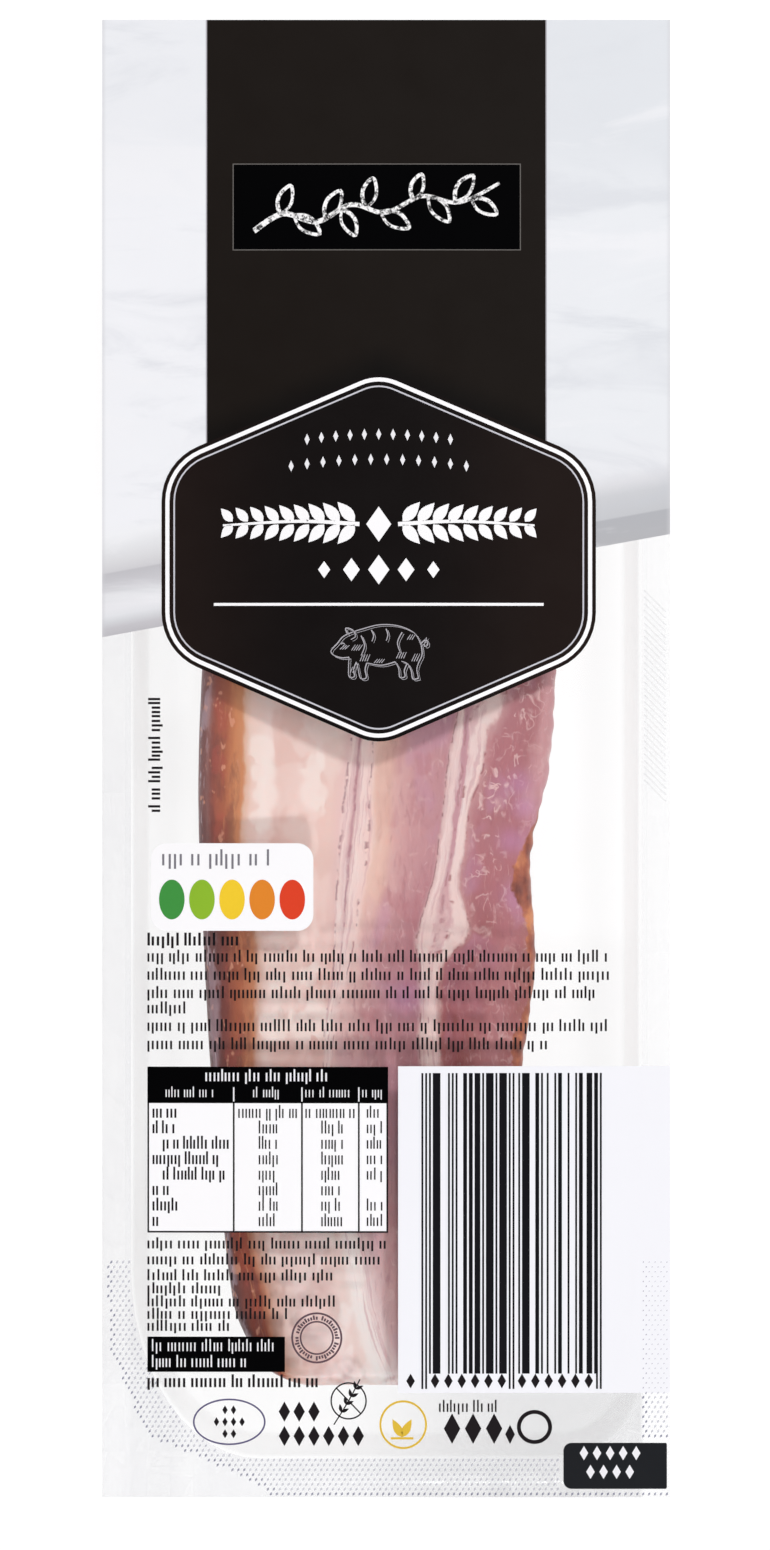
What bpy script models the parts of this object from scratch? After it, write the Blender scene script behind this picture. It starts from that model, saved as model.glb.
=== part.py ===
"""A sealed clear tray that holds one chunk of bacon under a printed lid film.

It lies on its base with the lid up. Metres, +Z up. X runs across the pack and Y along it,
towards the end that is printed all over. The origin is under the middle of the pack, on the
surface that it rests on.
"""

import math

import bmesh
import bpy

MM = 0.001

# Overall size, cut square by straight knives
PACK_WIDTH = 100.0 * MM
PACK_LENGTH = 260.0 * MM
TRAY_DEPTH = 26.0 * MM

# Flange of the formed tray, where the lid is sealed on
FLANGE_THICK = 0.6 * MM
SIDE_FLANGE = 5.5 * MM
PRINTED_END_FLANGE = 7.5 * MM
PEEL_END_FLANGE = 7.2 * MM

# Pocket of the tray: corner radii are given across and along the pack
POCKET_CORNER = (14.0 * MM, 14.0 * MM)
PEEL_CORNER = (22.5 * MM, 33.0 * MM)
CORNER_STEPS = 12
WALL_DRAFT = math.radians(4.0)
WALL_THICK = 0.5 * MM
BASE_ROUND = 5.0 * MM
BASE_ROUND_STEPS = 5

# Lid film, a little crowned over the pocket
LID_GAP = 0.3 * MM
LID_THICK = 0.4 * MM
LID_CROWN = 1.2 * MM
LID_CELL = 6.5 * MM

# Chunk of bacon: 250 g cut through the belly, so that its layers run along it.
# Each edge is a few places (along, across) that a smooth curve passes through.
CHUNK_THICK = 21.0 * MM
CHUNK_CLEARANCE = 0.4 * MM
CHUNK_EDGE_ROUND = 2.6 * MM
RIND_EDGE = (
    (-110.8 * MM, -16.5 * MM),
    (-107.0 * MM, -21.8 * MM),
    (-95.5 * MM, -27.2 * MM),
    (-53.2 * MM, -31.0 * MM),
    (-7.0 * MM, -33.3 * MM),
    (40.0 * MM, -31.2 * MM),
    (78.0 * MM, -29.0 * MM),
    (88.0 * MM, -22.0 * MM),
)
MEAT_EDGE = (
    (-110.8 * MM, 9.0 * MM),
    (-106.8 * MM, 15.5 * MM),
    (-97.0 * MM, 20.5 * MM),
    (-53.2 * MM, 24.3 * MM),
    (-36.0 * MM, 26.4 * MM),
    (-17.0 * MM, 25.6 * MM),
    (-2.0 * MM, 28.6 * MM),
    (16.0 * MM, 30.0 * MM),
    (76.0 * MM, 28.5 * MM),
    (88.0 * MM, 20.0 * MM),
)
CHUNK_SECTIONS = 44
SECTION_CORNER_STEPS = 4
SAG_ACROSS = 0.5 * MM

FLANGE_TOP = TRAY_DEPTH
LID_BASE = FLANGE_TOP + LID_GAP
POCKET_WIDTH = PACK_WIDTH - 2 * SIDE_FLANGE
POCKET_LENGTH = PACK_LENGTH - PRINTED_END_FLANGE - PEEL_END_FLANGE

CLEAR_COLOUR = (0.86, 0.87, 0.88, 0.35)
LID_COLOUR = (0.88, 0.89, 0.92, 1.0)
BACON_COLOUR = (0.66, 0.36, 0.33, 1.0)


def make_material(name, colour, roughness):
    """A plain Principled material with the piece's own colour."""
    material = bpy.data.materials.new(name)
    material.use_nodes = True
    shader = material.node_tree.nodes["Principled BSDF"]
    shader.inputs["Base Color"].default_value = (*colour[:3], 1.0)
    shader.inputs["Alpha"].default_value = colour[3]
    shader.inputs["Roughness"].default_value = roughness
    shader.inputs["Metallic"].default_value = 0.0
    return material


def new_collection(name):
    collection = bpy.data.collections.new(name)
    bpy.context.scene.collection.children.link(collection)
    return collection


def add_object(name, mesh_data, collection, material):
    """An object made from a bmesh, which is freed."""
    mesh = bpy.data.meshes.new(name)
    mesh_data.to_mesh(mesh)
    mesh_data.free()
    mesh.materials.append(material)
    piece = bpy.data.objects.new(name, mesh)
    collection.objects.link(piece)
    return piece


def add_helper(name, mesh_data, collection, material):
    """A shape that only joins or cuts another, drawn as wire and never rendered."""
    helper = add_object(name, mesh_data, collection, material)
    helper.hide_render = True
    helper.display_type = "WIRE"
    return helper


def pocket_outline(inset):
    """Points round the mouth of the pocket, anticlockwise, with the cut-off peel corner."""
    right = PACK_WIDTH / 2 - SIDE_FLANGE - inset
    left = -right
    top = PACK_LENGTH / 2 - PRINTED_END_FLANGE - inset
    bottom = -PACK_LENGTH / 2 + PEEL_END_FLANGE + inset
    corners = (
        (right, top, POCKET_CORNER),
        (left, top, POCKET_CORNER),
        (left, bottom, PEEL_CORNER),
        (right, bottom, POCKET_CORNER),
    )
    points = []
    for quarter, (edge_x, edge_y, radii) in enumerate(corners):
        radius_x = radii[0] - inset
        radius_y = radii[1] - inset
        centre_x = edge_x - math.copysign(radius_x, edge_x)
        centre_y = edge_y - math.copysign(radius_y, edge_y)
        for step in range(CORNER_STEPS + 1):
            turn = (quarter + step / CORNER_STEPS) * math.pi / 2
            x = centre_x + radius_x * math.cos(turn)
            y = centre_y + radius_y * math.sin(turn)
            points.append((x, y))
    return points


def pocket_body(inset, mouth_z, base_z):
    """A drafted pocket shape: its mouth pushed down to the base, with the base edge rounded."""
    body = bmesh.new()
    rim = [body.verts.new((x, y, mouth_z)) for x, y in pocket_outline(inset)]
    mouth = body.faces.new(rim)
    pushed = bmesh.ops.extrude_face_region(body, geom=[mouth], use_keep_orig=True)["geom"]
    base_points = [part for part in pushed if isinstance(part, bmesh.types.BMVert)]
    base_edges = [part for part in pushed if isinstance(part, bmesh.types.BMEdge)]
    depth = mouth_z - base_z
    narrowing = 2 * depth * math.tan(WALL_DRAFT)
    shrink = (1 - narrowing / POCKET_WIDTH, 1 - narrowing / POCKET_LENGTH, 1.0)
    bmesh.ops.scale(body, vec=shrink, verts=base_points)
    bmesh.ops.translate(body, vec=(0.0, 0.0, -depth), verts=base_points)
    bmesh.ops.bevel(
        body,
        geom=base_edges,
        offset=BASE_ROUND - inset,
        offset_type="OFFSET",
        segments=BASE_ROUND_STEPS,
        profile=0.5,
        affect="EDGES",
        clamp_overlap=True,
    )
    bmesh.ops.recalc_face_normals(body, faces=body.faces)
    return body


def flange_plate():
    """The flat rim round the pocket, out to the square edges of the pack."""
    plate = bmesh.new()
    bmesh.ops.create_cube(plate, size=1.0)
    bmesh.ops.scale(plate, vec=(PACK_WIDTH, PACK_LENGTH, FLANGE_THICK), verts=plate.verts)
    middle = FLANGE_TOP - FLANGE_THICK / 2
    bmesh.ops.translate(plate, vec=(0.0, 0.0, middle), verts=plate.verts)
    return plate


def add_tray(parts, helpers):
    """The formed tray: the pocket joined to its flange, then hollowed from above."""
    clear = make_material("clear_tray", CLEAR_COLOUR, 0.12)
    tray = add_object("tray", pocket_body(0.0, FLANGE_TOP, 0.0), parts, clear)
    flange = add_helper("flange_helper", flange_plate(), helpers, clear)
    hollow_top = FLANGE_TOP + 2 * WALL_THICK
    hollow_shape = pocket_body(WALL_THICK, hollow_top, WALL_THICK)
    hollow = add_helper("hollow_cutter", hollow_shape, helpers, clear)
    join = tray.modifiers.new("flange", "BOOLEAN")
    join.operation = "UNION"
    join.object = flange
    cut = tray.modifiers.new("hollow", "BOOLEAN")
    cut.operation = "DIFFERENCE"
    cut.object = hollow
    return tray


def lid_rise(x, y):
    """How far the lid stands above its sealed rim: a shallow crown over the pocket."""
    across = min(1.0, abs(x) / (PACK_WIDTH / 2 - SIDE_FLANGE))
    along = min(1.0, abs(y) / (PACK_LENGTH / 2 - PRINTED_END_FLANGE))
    return LID_CROWN * (1 - across**2) ** 1.5 * (1 - along**4) ** 1.5


def add_lid_film(parts):
    """The printed lid film: a grid lifted to the crown, then given its thickness."""
    printed = make_material("printed_lid", LID_COLOUR, 0.3)
    lid_mesh = bmesh.new()
    bmesh.ops.create_grid(
        lid_mesh,
        x_segments=round(PACK_WIDTH / LID_CELL),
        y_segments=round(PACK_LENGTH / LID_CELL),
        size=0.5,
    )
    bmesh.ops.scale(lid_mesh, vec=(PACK_WIDTH, PACK_LENGTH, 1.0), verts=lid_mesh.verts)
    for point in lid_mesh.verts:
        point.co.z = LID_BASE + lid_rise(point.co.x, point.co.y)
    lid = add_object("lid_film", lid_mesh, parts, printed)
    thickness = lid.modifiers.new("film", "SOLIDIFY")
    thickness.thickness = LID_THICK
    thickness.offset = 1.0
    return lid


def edge_at(places, along):
    """Where an edge of the chunk lies across the pack: a smooth curve through its places."""
    last = len(places) - 1
    index = 0
    while index < last - 1 and along > places[index + 1][0]:
        index += 1
    start, end = places[index], places[index + 1]
    before = places[max(index - 1, 0)]
    after = places[min(index + 2, last)]
    span = end[0] - start[0]
    slope_start = (end[1] - before[1]) / (end[0] - before[0]) * span
    slope_end = (after[1] - start[1]) / (after[0] - start[0]) * span
    t = min(1.0, max(0.0, (along - start[0]) / span))
    rest = 1 - t
    return (
        start[1] * rest * rest * (1 + 2 * t)
        + slope_start * rest * rest * t
        + end[1] * t * t * (3 - 2 * t)
        - slope_end * t * t * rest
    )


def chunk_section(along, inset):
    """One round-cornered section across the chunk, anticlockwise seen against Y."""
    left = edge_at(RIND_EDGE, along) + inset
    right = edge_at(MEAT_EDGE, along) - inset
    low = WALL_THICK + CHUNK_CLEARANCE + inset
    high = WALL_THICK + CHUNK_CLEARANCE + CHUNK_THICK - inset
    radius = CHUNK_EDGE_ROUND - inset / 2
    middle = (left + right) / 2
    half_width = (right - left) / 2
    corners = ((right, high), (left, high), (left, low), (right, low))
    points = []
    for quarter, (edge_x, edge_z) in enumerate(corners):
        centre_x = edge_x - math.copysign(radius, edge_x - middle)
        centre_z = edge_z - math.copysign(radius, edge_z - (low + high) / 2)
        for step in range(SECTION_CORNER_STEPS + 1):
            turn = (quarter + step / SECTION_CORNER_STEPS) * math.pi / 2
            x = centre_x + radius * math.cos(turn)
            z = centre_z + radius * math.sin(turn)
            off_middle = (x - middle) / half_width
            dip = SAG_ACROSS * math.cos(off_middle * math.pi) if z > low + radius else 0.0
            points.append((x, along, z - dip))
    return points


def chunk_stations():
    """Places along the chunk, closer together at its rounded ends, each with its inset."""
    low, high = RIND_EDGE[0][0], RIND_EDGE[-1][0]
    middle = (low + high) / 2
    reach = (high - low) / 2
    stations = []
    for index in range(CHUNK_SECTIONS + 1):
        share = -math.cos(math.pi * index / CHUNK_SECTIONS)
        along = middle + reach * share
        from_end = min(along - low, high - along, CHUNK_EDGE_ROUND)
        off_round = min(1.0, 1 - from_end / CHUNK_EDGE_ROUND)
        inset = CHUNK_EDGE_ROUND * (1 - math.sqrt(1 - off_round**2))
        stations.append((along, min(inset, CHUNK_EDGE_ROUND * 0.8)))
    return stations


def add_bacon_chunk(parts):
    """The chunk, lofted through unlike sections with a cap at each cut end."""
    bacon = make_material("bacon", BACON_COLOUR, 0.4)
    chunk = bmesh.new()
    rings = []
    for along, inset in chunk_stations():
        rings.append([chunk.verts.new(point) for point in chunk_section(along, inset)])
    count = len(rings[0])
    for near, far in zip(rings, rings[1:]):
        for index in range(count):
            following = (index + 1) % count
            chunk.faces.new((near[index], far[index], far[following], near[following]))
    chunk.faces.new(rings[0])
    chunk.faces.new(list(reversed(rings[-1])))
    bmesh.ops.remove_doubles(chunk, verts=chunk.verts, dist=0.01 * MM)
    bmesh.ops.recalc_face_normals(chunk, faces=chunk.faces)
    return add_object("bacon_chunk", chunk, parts, bacon)


def main():
    for leftover in list(bpy.data.objects):
        bpy.data.objects.remove(leftover, do_unlink=True)
    parts = new_collection("bacon_pack")
    helpers = new_collection("helpers")
    add_tray(parts, helpers)
    add_bacon_chunk(parts)
    add_lid_film(parts)


main()
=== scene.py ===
# %% [markdown]
# # A sealed pack with one chunk of bacon
# The real pack is a clear tray, formed from one sheet, with a printed film sealed over it.
# Under the film lies a chunk cut through a smoked belly, so its layers run along the pack.
# The CAD frame holds the sizes. This lesson builds the looks round it: a thin glossy tray,
# a moist layered chunk, a clear film, and the print as thin layers of ink on that film.

import math
import random

import bmesh
import bpy
import numpy as np
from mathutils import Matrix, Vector, noise


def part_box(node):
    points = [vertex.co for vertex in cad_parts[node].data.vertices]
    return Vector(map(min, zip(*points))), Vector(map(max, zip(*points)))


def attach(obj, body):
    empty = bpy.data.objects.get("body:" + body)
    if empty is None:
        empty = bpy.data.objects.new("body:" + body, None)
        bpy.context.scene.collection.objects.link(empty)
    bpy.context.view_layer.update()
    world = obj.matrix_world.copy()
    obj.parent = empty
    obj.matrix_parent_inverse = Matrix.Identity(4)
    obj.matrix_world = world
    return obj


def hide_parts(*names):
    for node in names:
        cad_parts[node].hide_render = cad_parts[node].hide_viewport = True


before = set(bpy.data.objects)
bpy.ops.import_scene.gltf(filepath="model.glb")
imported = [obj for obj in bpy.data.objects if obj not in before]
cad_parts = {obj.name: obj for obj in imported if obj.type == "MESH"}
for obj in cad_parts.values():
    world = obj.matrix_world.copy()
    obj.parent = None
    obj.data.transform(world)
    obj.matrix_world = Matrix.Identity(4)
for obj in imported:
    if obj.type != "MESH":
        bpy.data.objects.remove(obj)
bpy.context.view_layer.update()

# %% [markdown]
# ## Sizes taken from the frame
# Everything below is worked out in millimetres, which read more easily than metres for so
# small a thing, and is turned into metres when a mesh is made. The outer sizes are read from
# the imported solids. The rim widths and corner rounds are those of the formed tray.

# %% Sizes in millimetres
MM = 0.001
chunk_low, chunk_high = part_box("bacon_chunk")
film_low, film_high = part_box("lid_film")

HALF_WIDTH = film_high.x / MM
HALF_LENGTH = film_high.y / MM
FILM_BASE = film_low.z / MM
CHUNK_BASE = chunk_low.z / MM
SIDE_FLANGE = 5.5
PRINTED_END_FLANGE = 7.5
PEEL_END_FLANGE = 7.2
POCKET_CORNER = (14.0, 14.0)
PEEL_CORNER = (22.5, 33.0)
FILM_CROWN = 1.2
FILM_THICK = 0.1
print("pack", 2 * HALF_WIDTH, "x", 2 * HALF_LENGTH, "mm, film at", round(FILM_BASE, 2))

# %% [markdown]
# ## Helpers for meshes

# %% Make an object from a bmesh
SHARP_ANGLE = math.radians(35)


def add_piece(name, shape, material):
    """One finished piece: millimetres become metres, and it rides on the pack."""
    bmesh.ops.scale(shape, vec=(MM, MM, MM), verts=shape.verts)
    mesh = bpy.data.meshes.new(name)
    shape.to_mesh(mesh)
    shape.free()
    mesh.materials.append(material)
    mesh.shade_smooth()
    mesh.set_sharp_from_angle(angle=SHARP_ANGLE)
    piece = bpy.data.objects.new(name, mesh)
    bpy.context.scene.collection.objects.link(piece)
    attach(piece, "root")
    print(name, len(mesh.polygons), "faces")
    return piece


# %% [markdown]
# ## Helpers for materials
# Node trees are wired by code here. Small helpers keep that readable: they add a node and
# feed its sockets, do sums, map ranges and mix colours. Colours are written as they look on
# a screen and turned into the linear values that shaders use.

# %% Screen colours
def tone(red, green, blue):
    """A screen colour, 0 to 255, as the linear colour that a shader reads."""
    linear = []
    for value in (red, green, blue):
        share = value / 255
        low = share / 12.92
        high = ((share + 0.055) / 1.055) ** 2.4
        linear.append(low if share <= 0.04045 else high)
    return (*linear, 1.0)


print("mid grey is", round(tone(128, 128, 128)[0], 3), "in linear light")

# %% Nodes, sums and ranges
def add_node(tree, kind, feeds=None, **settings):
    """A node with its settings made and its sockets fed with values or with other sockets."""
    made = tree.nodes.new(kind)
    for name, value in settings.items():
        setattr(made, name, value)
    for socket, value in (feeds or {}).items():
        if isinstance(value, bpy.types.NodeSocket):
            tree.links.new(value, made.inputs[socket])
        else:
            made.inputs[socket].default_value = value
    return made


def calc(tree, operation, *values, clamp=False):
    """The outcome of one sum."""
    feeds = dict(enumerate(values))
    return add_node(tree, "ShaderNodeMath", feeds, operation=operation, use_clamp=clamp).outputs[0]


def times(tree, first, *others):
    """The product of two or more values."""
    product = first
    for other in others:
        product = calc(tree, "MULTIPLY", product, other)
    return product


def remap(tree, value, from_low, from_high, to_low=0.0, to_high=1.0):
    """A value on its way from one range to another, with a smooth start and end."""
    feeds = {0: value, 1: from_low, 2: from_high, 3: to_low, 4: to_high}
    kind = "SMOOTHSTEP"
    return add_node(tree, "ShaderNodeMapRange", feeds, interpolation_type=kind).outputs[0]


def fade(tree, value, start, end, to_low=0.0, to_high=1.0):
    """The same between two places on the pack, which are given in millimetres."""
    return remap(tree, value, start * MM, end * MM, to_low, to_high)


def mix_colours(tree, share, first, second):
    """The first colour where the share is 0, the second where it is 1."""
    feeds = {0: share, 6: first, 7: second}
    return add_node(tree, "ShaderNodeMix", feeds, data_type="RGBA").outputs[2]


# %% Textures that several finishes read
def object_place(tree):
    return add_node(tree, "ShaderNodeTexCoord").outputs["Object"]


def object_axes(tree):
    """The place on the object as three values: across, along and up, in metres."""
    return add_node(tree, "ShaderNodeSeparateXYZ", {0: object_place(tree)}).outputs


def stretched(tree, scale, turn=0.0):
    """Object coordinates, turned about Z and scaled to so many repeats a metre."""
    feeds = {"Vector": object_place(tree), "Rotation": (0.0, 0.0, turn), "Scale": scale}
    return add_node(tree, "ShaderNodeMapping", feeds).outputs[0]


def grain(tree, scale, detail=3.0, rough=0.55, turn=0.0, twist=0.0):
    """Noise from 0 to 1 over the object, with its own scale along each axis."""
    feeds = {"Vector": stretched(tree, scale, turn), "Scale": 1.0, "Detail": detail}
    feeds["Roughness"] = rough
    feeds["Distortion"] = twist
    return add_node(tree, "ShaderNodeTexNoise", feeds).outputs[0]


def ramp(tree, share, stops):
    """A colour ramp: each stop is a place from 0 to 1 and a screen colour."""
    made = add_node(tree, "ShaderNodeValToRGB", {0: share})
    steps = made.color_ramp.elements
    while len(steps) < len(stops):
        steps.new(1.0)
    for step, (place, colour) in zip(steps, stops):
        step.position = place
        step.color = tone(*colour)
    return made.outputs[0]


def by_share(stops, whole):
    """Stops whose places are millimetres, as shares of a whole width."""
    return [(place / whole, colour) for place, colour in stops]


# %% New materials and groups
def new_material(name):
    """A material, its node tree and its shader."""
    material = bpy.data.materials.new(name)
    material.use_nodes = True
    tree = material.node_tree
    return material, tree, tree.nodes["Principled BSDF"]


def new_group(name, inputs, outputs):
    """A shader group with named inputs and outputs: its tree, its way in and its way out."""
    tree = bpy.data.node_groups.new(name, "ShaderNodeTree")
    for label, kind, value in inputs:
        socket = tree.interface.new_socket(label, in_out="INPUT", socket_type=kind)
        socket.default_value = value
    for label, kind in outputs:
        tree.interface.new_socket(label, in_out="OUTPUT", socket_type=kind)
    return tree, tree.nodes.new("NodeGroupInput"), tree.nodes.new("NodeGroupOutput")


def use_group(tree, group, feeds):
    return add_node(tree, "ShaderNodeGroup", feeds, node_tree=group)


# %% [markdown]
# ## Two effects that many finishes share
# Printed ink is never quite even: it is a little mottled in colour and in gloss. Drawn film
# and formed sheet both ripple faintly, which only shows where they catch the light. Each is
# one node group with its own knobs, so that every ink and both plastics can use it.

# %% The group for printed ink
ink_grain, way_in, way_out = new_group(
    "ink_grain",
    (
        ("Colour", "NodeSocketColor", (0.5, 0.5, 0.5, 1.0)),
        ("Mottle", "NodeSocketFloat", 0.08),
        ("Gloss", "NodeSocketFloat", 0.35),
    ),
    (("Colour", "NodeSocketColor"), ("Roughness", "NodeSocketFloat")),
)
cloud = grain(ink_grain, (140.0, 140.0, 140.0), 4.0)
speck = grain(ink_grain, (2600.0, 2600.0, 2600.0), 2.0)
uneven = calc(ink_grain, "MULTIPLY_ADD", speck, 0.5, cloud)
shade = calc(ink_grain, "SUBTRACT", uneven, 0.75)
strength = calc(ink_grain, "MULTIPLY_ADD", shade, way_in.outputs["Mottle"], 1.0)
feeds = {"Value": strength, "Color": way_in.outputs["Colour"]}
bright = add_node(ink_grain, "ShaderNodeHueSaturation", feeds)
ink_grain.links.new(bright.outputs[0], way_out.inputs["Colour"])
gloss = calc(ink_grain, "MULTIPLY_ADD", shade, 0.15, way_in.outputs["Gloss"])
ink_grain.links.new(gloss, way_out.inputs["Roughness"])
print("group", ink_grain.name, len(ink_grain.nodes), "nodes")

# %% The group for rippled plastic
plastic_ripple, way_in, way_out = new_group(
    "plastic_ripple",
    (("Depth", "NodeSocketFloat", 0.1),),
    (("Normal", "NodeSocketVector"), ("Roughness", "NodeSocketFloat")),
)
wide = grain(plastic_ripple, (45.0, 18.0, 45.0), 2.0, 0.4)
fine = grain(plastic_ripple, (420.0, 260.0, 420.0), 2.0, 0.5)
height = calc(plastic_ripple, "MULTIPLY_ADD", fine, 0.12, wide)
feeds = {"Strength": way_in.outputs["Depth"], "Distance": 0.002, "Height": height}
ripple_bump = add_node(plastic_ripple, "ShaderNodeBump", feeds)
plastic_ripple.links.new(ripple_bump.outputs[0], way_out.inputs["Normal"])
haze = calc(plastic_ripple, "MULTIPLY_ADD", fine, 0.06, 0.05)
plastic_ripple.links.new(haze, way_out.inputs["Roughness"])
print("group", plastic_ripple.name, len(plastic_ripple.nodes), "nodes")


# %% A finish for every ink
def wire_ink(tree, shader, colour, gloss, mottle, shine):
    """Feeds a shader with uneven ink of one colour, or of a colour that other nodes make."""
    uneven = use_group(tree, ink_grain, {"Colour": colour, "Mottle": mottle, "Gloss": gloss})
    tree.links.new(uneven.outputs["Colour"], shader.inputs["Base Color"])
    tree.links.new(uneven.outputs["Roughness"], shader.inputs["Roughness"])
    shader.inputs["Specular IOR Level"].default_value = shine


def ink(name, colour, gloss=0.38, mottle=0.08, shine=0.12):
    """Printed ink of one colour: opaque, a little glossy, faintly uneven."""
    material, tree, shader = new_material(name)
    wire_ink(tree, shader, tone(*colour), gloss, mottle, shine)
    return material


# %% [markdown]
# ## Clear plastic
# A path tracer can bend light through thin plastic, but then hardly any light reaches the
# meat. Here the sheet is nearly transparent where it faces the eye and turns into a bright
# mirror where it is seen edge on, which is how thin clear sheet looks; that brightness is
# partly its own gloss and partly painted reflection, a near-white base colour. Layer Weight's
# Facing value is the same on both sides of the sheet, so inner faces don't turn solid. Along
# the lid's left side and at the peel end its alpha rises with a grey colour: painted shade.

# %% The finish of clear sheet
EDGE_POWER = 4.0
SHADED_LEFT = (-34.0, -38.0)
SHADED_LEFT_SHARE = 0.18
SHADED_END = (-102.0, -113.0)
SHADED_END_ACROSS = (-20.0, 30.0)
CLEAR_FLANGE = (45.5, 44.5)


def clear_plastic(name, face_on, edge_on, depth, painted_shade):
    """Clear sheet: its alpha face on and edge on, its ripples, and how much painted shade it takes on."""
    material, tree, shader = new_material(name)
    ripple = use_group(tree, plastic_ripple, {"Depth": depth})
    tree.links.new(ripple.outputs["Normal"], shader.inputs["Normal"])
    tree.links.new(ripple.outputs["Roughness"], shader.inputs["Roughness"])
    facing = add_node(tree, "ShaderNodeLayerWeight", {"Blend": 0.5}).outputs["Facing"]
    rise = calc(tree, "POWER", facing, EDGE_POWER)
    across, along, _ = object_axes(tree)
    # Painted shade: along the left side and at the peel end, over the pocket only, the sheet's alpha rises
    # and shows its grey colour.
    on_left = times(tree, fade(tree, across, *SHADED_LEFT), SHADED_LEFT_SHARE)
    at_end = times(tree, fade(tree, along, *SHADED_END), fade(tree, across, *SHADED_END_ACROSS))
    over_pocket = fade(tree, calc(tree, "ABSOLUTE", across), *CLEAR_FLANGE)
    haze = times(tree, calc(tree, "MAXIMUM", on_left, at_end), over_pocket)
    base = calc(tree, "MULTIPLY_ADD", haze, painted_shade, face_on)
    alpha = calc(tree, "MULTIPLY_ADD", rise, edge_on - face_on, base)
    tree.links.new(alpha, shader.inputs["Alpha"])
    # Painted reflection and shade: the base colour is near white where the sheet is seen edge on, and grey
    # where it faces the eye, as the painted shade shows it.
    shade_and_reflection_tint = mix_colours(tree, rise, tone(184, 185, 188), tone(250, 251, 253))
    tree.links.new(shade_and_reflection_tint, shader.inputs["Base Color"])
    return material


film_clear = clear_plastic("film_clear", 0.02, 0.7, 0.12, 0.2)
tray_clear = clear_plastic("tray_clear", 0.02, 0.3, 0.2, 0.0)
print("clear finishes", film_clear.name, "and", tray_clear.name)

# %% [markdown]
# ## The formed tray
# A tray is drawn from a flat sheet: a rim, a rolled lip, a wall that leans in a little so
# that it leaves the mould, a rounded foot and a flat base. Rings of points follow that
# profile round the mouth, and each neighbouring pair of rings is joined by faces. The sheet
# gets its thickness last, with Solidify, so one thin wall runs through all of it.


# %% The line round the pocket
CORNER_STEPS = 12


def pocket_limits(inset):
    """How far the pocket reaches to the right, up and down when it is moved in by the inset."""
    right = HALF_WIDTH - SIDE_FLANGE - inset
    top = HALF_LENGTH - PRINTED_END_FLANGE - inset
    bottom = -HALF_LENGTH + PEEL_END_FLANGE + inset
    return right, top, bottom


def pocket_corners(inset):
    """Each corner of the pocket: its starting quarter, and its arc's centre and radii."""
    right, top, bottom = pocket_limits(inset)
    corners = (
        (right, top, POCKET_CORNER),
        (-right, top, POCKET_CORNER),
        (-right, bottom, PEEL_CORNER),
        (right, bottom, POCKET_CORNER),
    )
    found = []
    for quarter, (edge_x, edge_y, radii) in enumerate(corners):
        radius_x = radii[0] - inset
        radius_y = radii[1] - inset
        centre_x = edge_x - math.copysign(radius_x, edge_x)
        centre_y = edge_y - math.copysign(radius_y, edge_y)
        found.append((quarter, centre_x, centre_y, radius_x, radius_y))
    return found


print("the pocket is", 2 * pocket_limits(0.0)[0], "mm wide")


def pocket_line(inset):
    """Points round the pocket, anticlockwise, moved in by the inset."""
    points = []
    for quarter, centre_x, centre_y, radius_x, radius_y in pocket_corners(inset):
        for step in range(CORNER_STEPS + 1):
            turn = (quarter + step / CORNER_STEPS) * math.pi / 2
            x = centre_x + radius_x * math.cos(turn)
            y = centre_y + radius_y * math.sin(turn)
            points.append((x, y))
    return points


# %% The pack's square edge with as many points
def square_line():
    """As many points round the square edge of the pack, one for each on the pocket."""
    points = []
    half = CORNER_STEPS // 2
    for quarter, centre_x, centre_y, _, _ in pocket_corners(0.0):
        edge_x = math.copysign(HALF_WIDTH, centre_x)
        edge_y = math.copysign(HALF_LENGTH, centre_y)
        for step in range(CORNER_STEPS + 1):
            first = min(step, half) / half
            second = max(step - half, 0) / half
            if quarter % 2 == 0:
                x = edge_x + (centre_x - edge_x) * second
                y = centre_y + (edge_y - centre_y) * first
            else:
                x = centre_x + (edge_x - centre_x) * first
                y = edge_y + (centre_y - edge_y) * second
            points.append((x, y))
    return points


print(len(pocket_line(0.0)), "points round the pocket")

# %% The tray's profile
SHEET_THICK = 0.3
SEAL_GAP = 0.04
LIP_ROUND = 1.1
FOOT_ROUND = 5.0
WALL_LEAN = math.tan(math.radians(4.0))
RIM_SHARES = (0.7, 0.35)
WALL_SHARES = (0.25, 0.5, 0.75)
BASE_STEP = 1.5
ROUND_STEPS = 6


def tray_profile():
    """Inset and height of each ring, from the flat rim down to the flat base."""
    rim = FILM_BASE - SEAL_GAP - SHEET_THICK
    wall_height = rim - LIP_ROUND - FOOT_ROUND
    foot_inset = wall_height * WALL_LEAN
    turns = [step / ROUND_STEPS * math.pi / 2 for step in range(ROUND_STEPS + 1)]
    rings = [(-SIDE_FLANGE * share, rim) for share in RIM_SHARES]
    for turn in turns:
        rings.append((LIP_ROUND * (math.sin(turn) - 1), rim - LIP_ROUND * (1 - math.cos(turn))))
    for share in WALL_SHARES:
        rings.append((foot_inset * share, rim - LIP_ROUND - wall_height * share))
    for turn in turns:
        inset = foot_inset + FOOT_ROUND * (1 - math.cos(turn))
        rings.append((inset, FOOT_ROUND * (1 - math.sin(turn))))
    rings.append((foot_inset + FOOT_ROUND + BASE_STEP, 0.0))
    return rings


profile = tray_profile()
print(len(profile), "rings from rim to base")

# %% The tray's mesh
def join_rings(shape, rings):
    """Faces between each ring and the next."""
    for near, far in zip(rings, rings[1:]):
        count = len(near)
        for index in range(count):
            following = (index + 1) % count
            shape.faces.new((near[index], near[following], far[following], far[index]))


def thicken(piece, thickness):
    """Gives a finished sheet its thickness, behind its faces."""
    solid = piece.modifiers.new("thickness", "SOLIDIFY")
    solid.thickness = thickness * MM
    solid.offset = -1.0


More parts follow.
